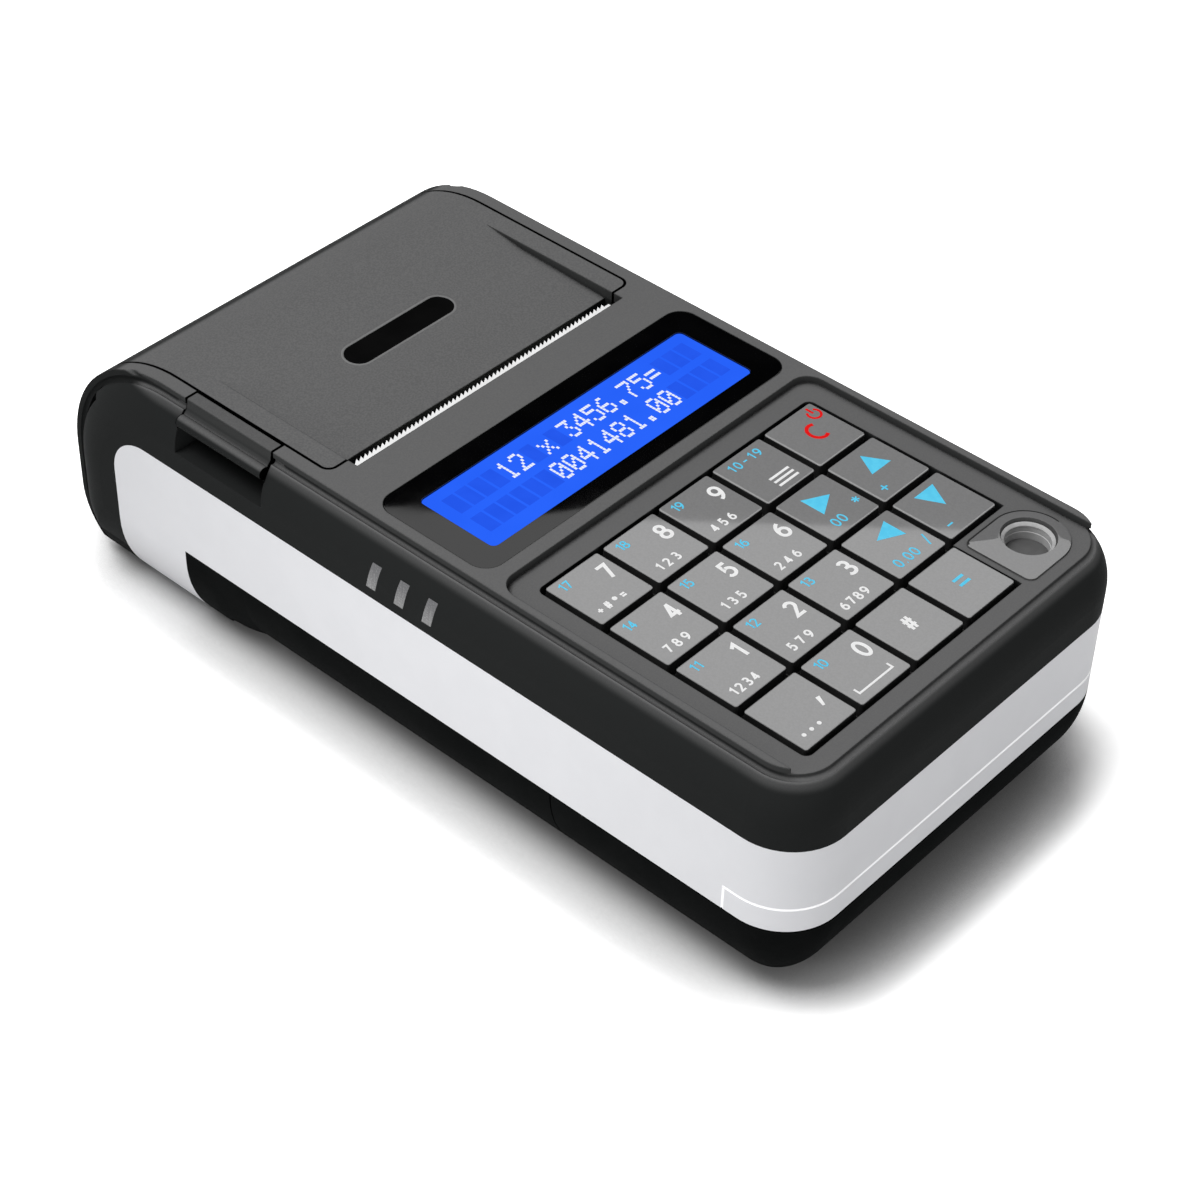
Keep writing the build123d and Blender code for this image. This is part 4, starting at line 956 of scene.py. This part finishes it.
panel_loops = well_loops(((panel_foot, well_low), (panel_foot, panel_low)))
panel_loops += [panel_outline(0, panel_low), panel_outline(0, panel_top_low)]
panel_loops.append(panel_outline(joint_width, key_top_z))
panel_mesh = skin("seal_panel", panel_loops + well_loops(panel_profile))
panel_grey = (0.165, 0.165, 0.166)
panel_grey_worn = (0.176, 0.176, 0.177)
panel_mesh.materials.append(coated_finish("seal_panel", panel_grey, panel_grey_worn))
# Painted shade: a black line on the outline's edge at the rear and the right end only, where the gap lies in
# shade, and a darker grey on the well's wall and the panel's sides.
for face in panel_mesh.polygons:
    centre = face.center / mm
    off_well = (centre - Vector((well_x, well_y, centre.z))).length
    in_edge_shade = edge_from < centre.z < edge_to and off_well > painted_shade_from
    if in_edge_shade and centre.y > painted_shade_reach_y and centre.x > panel_left + joint_width:
        face.material_index = 1
    elif centre.z < wall_below:
        face.material_index = 2
panel_mesh.materials.append(key_side_shade)

# The darker grey of the walls is painted shade.
shaded_wall_grey = (0.08, 0.08, 0.08)
shaded_wall_grey_worn = (0.09, 0.09, 0.09)
wall_shade_finish = plain_finish("seal_wall", shaded_wall_grey, shaded_wall_grey_worn, 0.25, 0.05, (0.5, 0.6), 0.03, 0.05, 0.4)
piece("seal_panel", panel_mesh, wall_shade_finish, "case", ["seal_plate"])
ring_bright = (0.42, 0.42, 0.42)
ring_bright_worn = (0.48, 0.48, 0.48)
ring_finish = plain_finish("seal_ring", ring_bright, ring_bright_worn, 0.2, 0.1, (0.28, 0.36), 0.05, 0.8, 1.0)
piece("seal_ring", skin("seal_ring", well_loops(ring_profile), ring=True), ring_finish, "case")
# The well's inner wall is a light grey: partly its own colour and partly painted light that lifts it out of
# the shade inside the well.
painted_light_tube_grey = (0.5, 0.5, 0.5)
painted_light_tube_grey_worn = (0.54, 0.54, 0.54)
tube_finish = plain_finish("seal_tube", painted_light_tube_grey, painted_light_tube_grey_worn, 0.4, 0.1, (0.4, 0.5), 0.05, 0.4, 1.5)
piece("seal_tube", skin("seal_tube", well_loops(tube_profile), ring=True), tube_finish, "case")
plug_grey = (0.085, 0.085, 0.085)
plug_grey_worn = (0.095, 0.095, 0.095)
plug_finish = plain_finish("seal_plug", plug_grey, plug_grey_worn, 0.5, 0.2, (0.4, 0.5), 0.05, patch=1.5)
piece("seal_plug", skin("seal_plug", well_loops(plug_profile)), plug_finish, "case", ["seal_screw"])

# ---- Status lights --------------------------------------------------------------------------
# Three slanting light pipes of clear plastic in the left wall, unlit, paler towards their lower ends.
pipe_pale_z = 41.5
pipe_dark_z = 47.5
pipe_pale = (0.25, 0.25, 0.25)
pipe_dark = (0.12, 0.12, 0.125)
pipe_streak = (0.09, 0.09, 0.095)
pipe, pipe_tree, pipe_shader = start_finish("clear_pipe")
pipe_place = add(pipe_tree, "TexCoord").outputs["Object"]
pipe_height = add(pipe_tree, "SeparateXYZ", Vector=pipe_place).outputs["Z"]
pipe_share = spread(pipe_tree, pipe_height, pipe_pale_z * mm, pipe_dark_z * mm, 0.0, 1.0)
pipe_tone = mixed(pipe_tree, pipe_share, pipe_pale, pipe_dark)
streaks = spread(pipe_tree, noise(pipe_tree, pipe_place, 0.35, 2.0, (1, 1, 12)), 0.3, 0.7, 0.0, 0.35)
pipe_tree.links.new(mixed(pipe_tree, streaks, pipe_tone, pipe_streak), pipe_shader.inputs["Base Color"])
surface(pipe_tree, pipe_shader, pipe_place, 0.4, 0.1, 0.2, 0.3, 0.15)
finish_nodes(pipe, "light_pipes")

# ---- Paper door and badge -------------------------------------------------------------------
# The door over the paper roll, of the same plastic as the case with a slightly coarser texture. Its sunk
# middle carries a bare gloss black badge, let into a thin raised rim.
# Painted light and shade, as on the case: faces that turn up are painted lighter than the walls, and hollows
# darker.
painted_lit_door_grey = (0.123, 0.123, 0.124)
painted_lit_door_grey_worn = (0.148, 0.148, 0.148)
door_finish = shell_finish("door_shell", painted_lit_door_grey, painted_lit_door_grey_worn, 0.28, 0.38)
finish_nodes(door_finish, "paper_door")
badge_y = 46.3
badge_rings = ((27.75, 5.85, -1.0), (27.75, 5.85, -0.15), (27.65, 5.75, -0.05), (27.4, 5.5, -0.02))
rim_rings = ((28.9, 7.0, -0.1), (28.9, 7.0, 0.02), (28.6, 6.7, 0.09), (28.1, 6.2, 0.09),
             (27.9, 6.0, 0.03), (27.9, 6.0, -0.1))
dip_points = ((20.8, 52.45), (48.0, 53.55), (58.0, 55.0))


def on_dip(points, lift):
    """Lay points on the sunk middle of the door, raised by that much."""
    laid = []
    for x, y, z in points:
        low, high = dip_points[:2] if y < dip_points[1][0] else dip_points[1:]
        floor_z = low[1] + (high[1] - low[1]) * (y - low[0]) / (high[0] - low[0])
        laid.append((x, y, floor_z + lift))
    return laid


def stadiums(rings):
    """Round-ended loops on the door's middle, from the length, width and lift of each."""
    return [on_dip(rounded(length, width, width / 2, 0, badge_y, 0), lift) for length, width, lift in rings]


badge_black = (0.0015, 0.0015, 0.0015)
badge_black_worn = (0.0025, 0.0025, 0.0025)
badge_finish = plain_finish("badge", badge_black, badge_black_worn, 4.0, 0.02, (0.2, 0.3), 0.03, 0.02)
badge_mesh = skin("badge_face", stadiums(badge_rings))
piece("badge_face", badge_mesh, badge_finish, "paper_door", ["badge_plate"])
rim_grey = (0.185, 0.185, 0.185)
rim_grey_worn = (0.2, 0.2, 0.2)
rim_finish = plain_finish("badge_rim", rim_grey, rim_grey_worn, 0.3, 0.1, (0.4, 0.5), 0.03, 0.02, 1.0)
piece("badge_rim", skin("badge_rim", stadiums(rim_rings), ring=True), rim_finish, "paper_door")

# ---- Door lever -----------------------------------------------------------------------------
# The lever in the left shoulder that lets the door go, of the same plastic as the case. It follows the
# shoulder's form and ends below in a rounded lip for a fingertip; its pin and spring are inside.
lever_ends_y = (35.1, 58.1)
lip_x = -46.2
lip_z = 50.9
lip_radius = 1.3
# Painted light and shade, as on the case: faces that turn up are painted lighter than the walls, and hollows
# darker.
painted_lit_lever_grey = (0.1, 0.1, 0.101)
painted_lit_lever_grey_worn = (0.115, 0.115, 0.115)
lever_outline = [
    (-45.4, 49.85), (-44.6, 50.3), (-43.9, 51.1), (-42.9, 51.8), (-42.0, 52.4), (-41.65, 53.2),
    (-41.65, 54.9), (-41.75, 55.0), (-43.9, 55.0), (-44.15, 54.93), (-44.3, 54.75), (-44.35, 54.0),
    (-44.5, 53.6), (-44.52, 53.2), (-44.6, 52.95), (-44.8, 52.7), (-45.1, 52.42), (-45.4, 52.03),
]
for degrees in range(54, 271, 12):
    around = math.radians(degrees)
    lever_outline.append((lip_x + lip_radius * math.cos(around), lip_z + lip_radius * math.sin(around)))
lever_mesh = skin("lever_body", [[(x, end, z) for x, z in lever_outline] for end in lever_ends_y])
lever_finish = shell_finish("lever_shell", painted_lit_lever_grey, painted_lit_lever_grey_worn, 0.5, 0.3)
piece("lever_body", lever_mesh, lever_finish, "latch_lever", ["latch_lever"])

# ---- Floor, light and camera ----------------------------------------------------------------
# A pale floor that goes on into a white background. A large light card hangs high at the left rear, a low
# one fills the front and a small one the left side. A black flag behind keeps the gloss surfaces dark
# towards the rear.
floor_half = 6.0
white = (1.0, 1.0, 1.0)
black = (0.0, 0.0, 0.0)
# Painted shadow and painted light on the floor: the grey where the object crowds it and the glow where it
# lies open.
contact_reach = 0.04
painted_contact_shadow_grey = (0.42, 0.42, 0.42)
bounce_grey = (0.4, 0.4, 0.4)
near_reach = 0.02
painted_near_glow = (0.7, 0.7, 0.7)
far_reach = 0.15
painted_far_glow = (0.15, 0.15, 0.15)
room_grey = (0.22, 0.22, 0.222)


def stage_sheet(name, corners):
    """A flat sheet of the studio."""
    mesh = bpy.data.meshes.new(name)
    mesh.from_pydata(corners, [], [tuple(range(len(corners)))])
    sheet = bpy.data.objects.new(name, mesh)
    bpy.context.scene.collection.objects.link(sheet)
    return sheet


def seen_rays(tree):
    """One for rays from the camera, off gloss and through glass."""
    ray = add(tree, "LightPath").outputs
    straight = worked(tree, "MAXIMUM", ray["Is Camera Ray"], ray["Is Glossy Ray"])
    return worked(tree, "MAXIMUM", straight, ray["Is Transmission Ray"])


floor_corners = [(x * floor_half, y * floor_half, 0) for x, y in ((-1, -1), (1, -1), (1, 1), (-1, 1))]
floor = stage_sheet("floor", floor_corners)
floor_paint, floor_tree, floor_shader = start_finish("floor")
floor_shader.inputs["Roughness"].default_value = 0.9
floor_shader.inputs["Specular IOR Level"].default_value = 0.0
# Painted shadow: seen from the camera, the floor is painted grey where ambient occlusion finds the object
# close, and it glows white, painted light, where it lies open.
touching = add(floor_tree, "AmbientOcclusion", {"samples": 12}, Distance=contact_reach).outputs["AO"]
off_object = spread(floor_tree, touching, 0.35, 0.7, 0.0, 1.0)
seen_white = mixed(floor_tree, off_object, painted_contact_shadow_grey, white)
floor_white = mixed(floor_tree, seen_rays(floor_tree), bounce_grey, seen_white)
floor_tree.links.new(floor_white, floor_shader.inputs["Base Color"])
open_floor = add(floor_tree, "AmbientOcclusion", {"samples": 6}, Distance=far_reach).outputs["AO"]
clear = spread(floor_tree, open_floor, 0.55, 0.95, 0.0, 1.0)
near_floor = add(floor_tree, "AmbientOcclusion", {"samples": 12}, Distance=near_reach).outputs["AO"]
clear_near = spread(floor_tree, near_floor, 0.7, 0.88, 0.0, 1.0)
beyond = mixed(floor_tree, clear_near, black, painted_near_glow)
far_white = mixed(floor_tree, clear, beyond, painted_far_glow, "ADD")
camera_seen = add(floor_tree, "LightPath").outputs["Is Camera Ray"]
painted_floor_glow = mixed(floor_tree, camera_seen, black, far_white)
floor_tree.links.new(painted_floor_glow, floor_shader.inputs["Emission Color"])
floor_shader.inputs["Emission Strength"].default_value = 1.0
floor.data.materials.append(floor_paint)

world = bpy.data.worlds.new("studio")
bpy.context.scene.world = world
world.use_nodes = True
sky = world.node_tree
sky.nodes.clear()
room = mixed(sky, seen_rays(sky), room_grey, white)
backdrop = add(sky, "Background", Color=room)
sky_output = sky.nodes.new("ShaderNodeOutputWorld")
sky.links.new(backdrop.outputs["Background"], sky_output.inputs["Surface"])

azimuth = math.radians(-49.2817)
elevation = math.radians(41.4184)
roll = math.radians(1.8556)
focal_pixels = 2860.39
image_pixels = 1200.0
camera_place = Vector((-0.31443, -0.27781, 0.38211))
level_share = math.cos(elevation)
back = Vector((math.sin(azimuth) * level_share, -math.cos(azimuth) * level_share, math.sin(elevation)))
level = (-back).cross(Vector((0, 0, 1))).normalized()
upright = level.cross(-back)
side_axis = level * math.cos(roll) + upright * math.sin(roll)
up_axis = upright * math.cos(roll) - level * math.sin(roll)
camera_data = bpy.data.cameras.new("camera")
camera_data.sensor_width = 36.0
camera_data.lens = focal_pixels / image_pixels * camera_data.sensor_width
camera_data.clip_start = 0.01
camera = bpy.data.objects.new("camera", camera_data)
turn = Matrix((side_axis, up_axis, back)).transposed()
camera.matrix_world = Matrix.Translation(camera_place) @ turn.to_4x4()
bpy.context.scene.collection.objects.link(camera)
bpy.context.scene.camera = camera


def light_card(name, middle, target, width, height, power, spread_degrees=180):
    """A soft light card facing its target. A honeycomb narrows its spread."""
    lamp = bpy.data.lights.new(name, "AREA")
    lamp.shape = "RECTANGLE"
    lamp.size = width
    lamp.size_y = height
    lamp.energy = power
    lamp.spread = math.radians(spread_degrees)
    card = bpy.data.objects.new(name, lamp)
    card.location = middle
    card.rotation_euler = (Vector(target) - Vector(middle)).to_track_quat("-Z", "Y").to_euler()
    card.visible_glossy = False
    card.visible_camera = False
    bpy.context.scene.collection.objects.link(card)


away = Vector((-math.sin(azimuth), math.cos(azimuth), 0))
across = Vector((away.y, -away.x, 0))
light_card("key_card", (-0.93, 0.78, 2.74), (0, 0, 0), 1.7, 1.3, 72)
light_card("fill_card", (-0.25, -1.28, 0.14), (0, 0, 0.03), 0.9, 0.22, 5.2)
light_card("left_card", (-0.25, -0.015, 0.08), (0, -0.017, 0.03), 0.12, 0.08, 0.061, 110)

flag_distance = 1.6
flag_width = 2.8
flag_rise = math.radians(40.2)
case_top = 0.055
flag_place = away * flag_distance
flag_half = across * flag_width / 2
flag_top = Vector((0, 0, case_top + flag_distance * math.tan(flag_rise)))
flag = stage_sheet("flag", [flag_place - flag_half, flag_place + flag_half, flag_place + flag_half + flag_top,
                            flag_place - flag_half + flag_top])
flag.visible_camera = False
flag.visible_diffuse = False
flag.visible_transmission = False
flag.visible_shadow = False
flag_paint, _, flag_shader = start_finish("flag")
flag_shader.inputs["Base Color"].default_value = (*black, 1)
flag_shader.inputs["Specular IOR Level"].default_value = 0.0
flag.data.materials.append(flag_paint)

view = bpy.context.scene.view_settings
view.view_transform = "Standard"
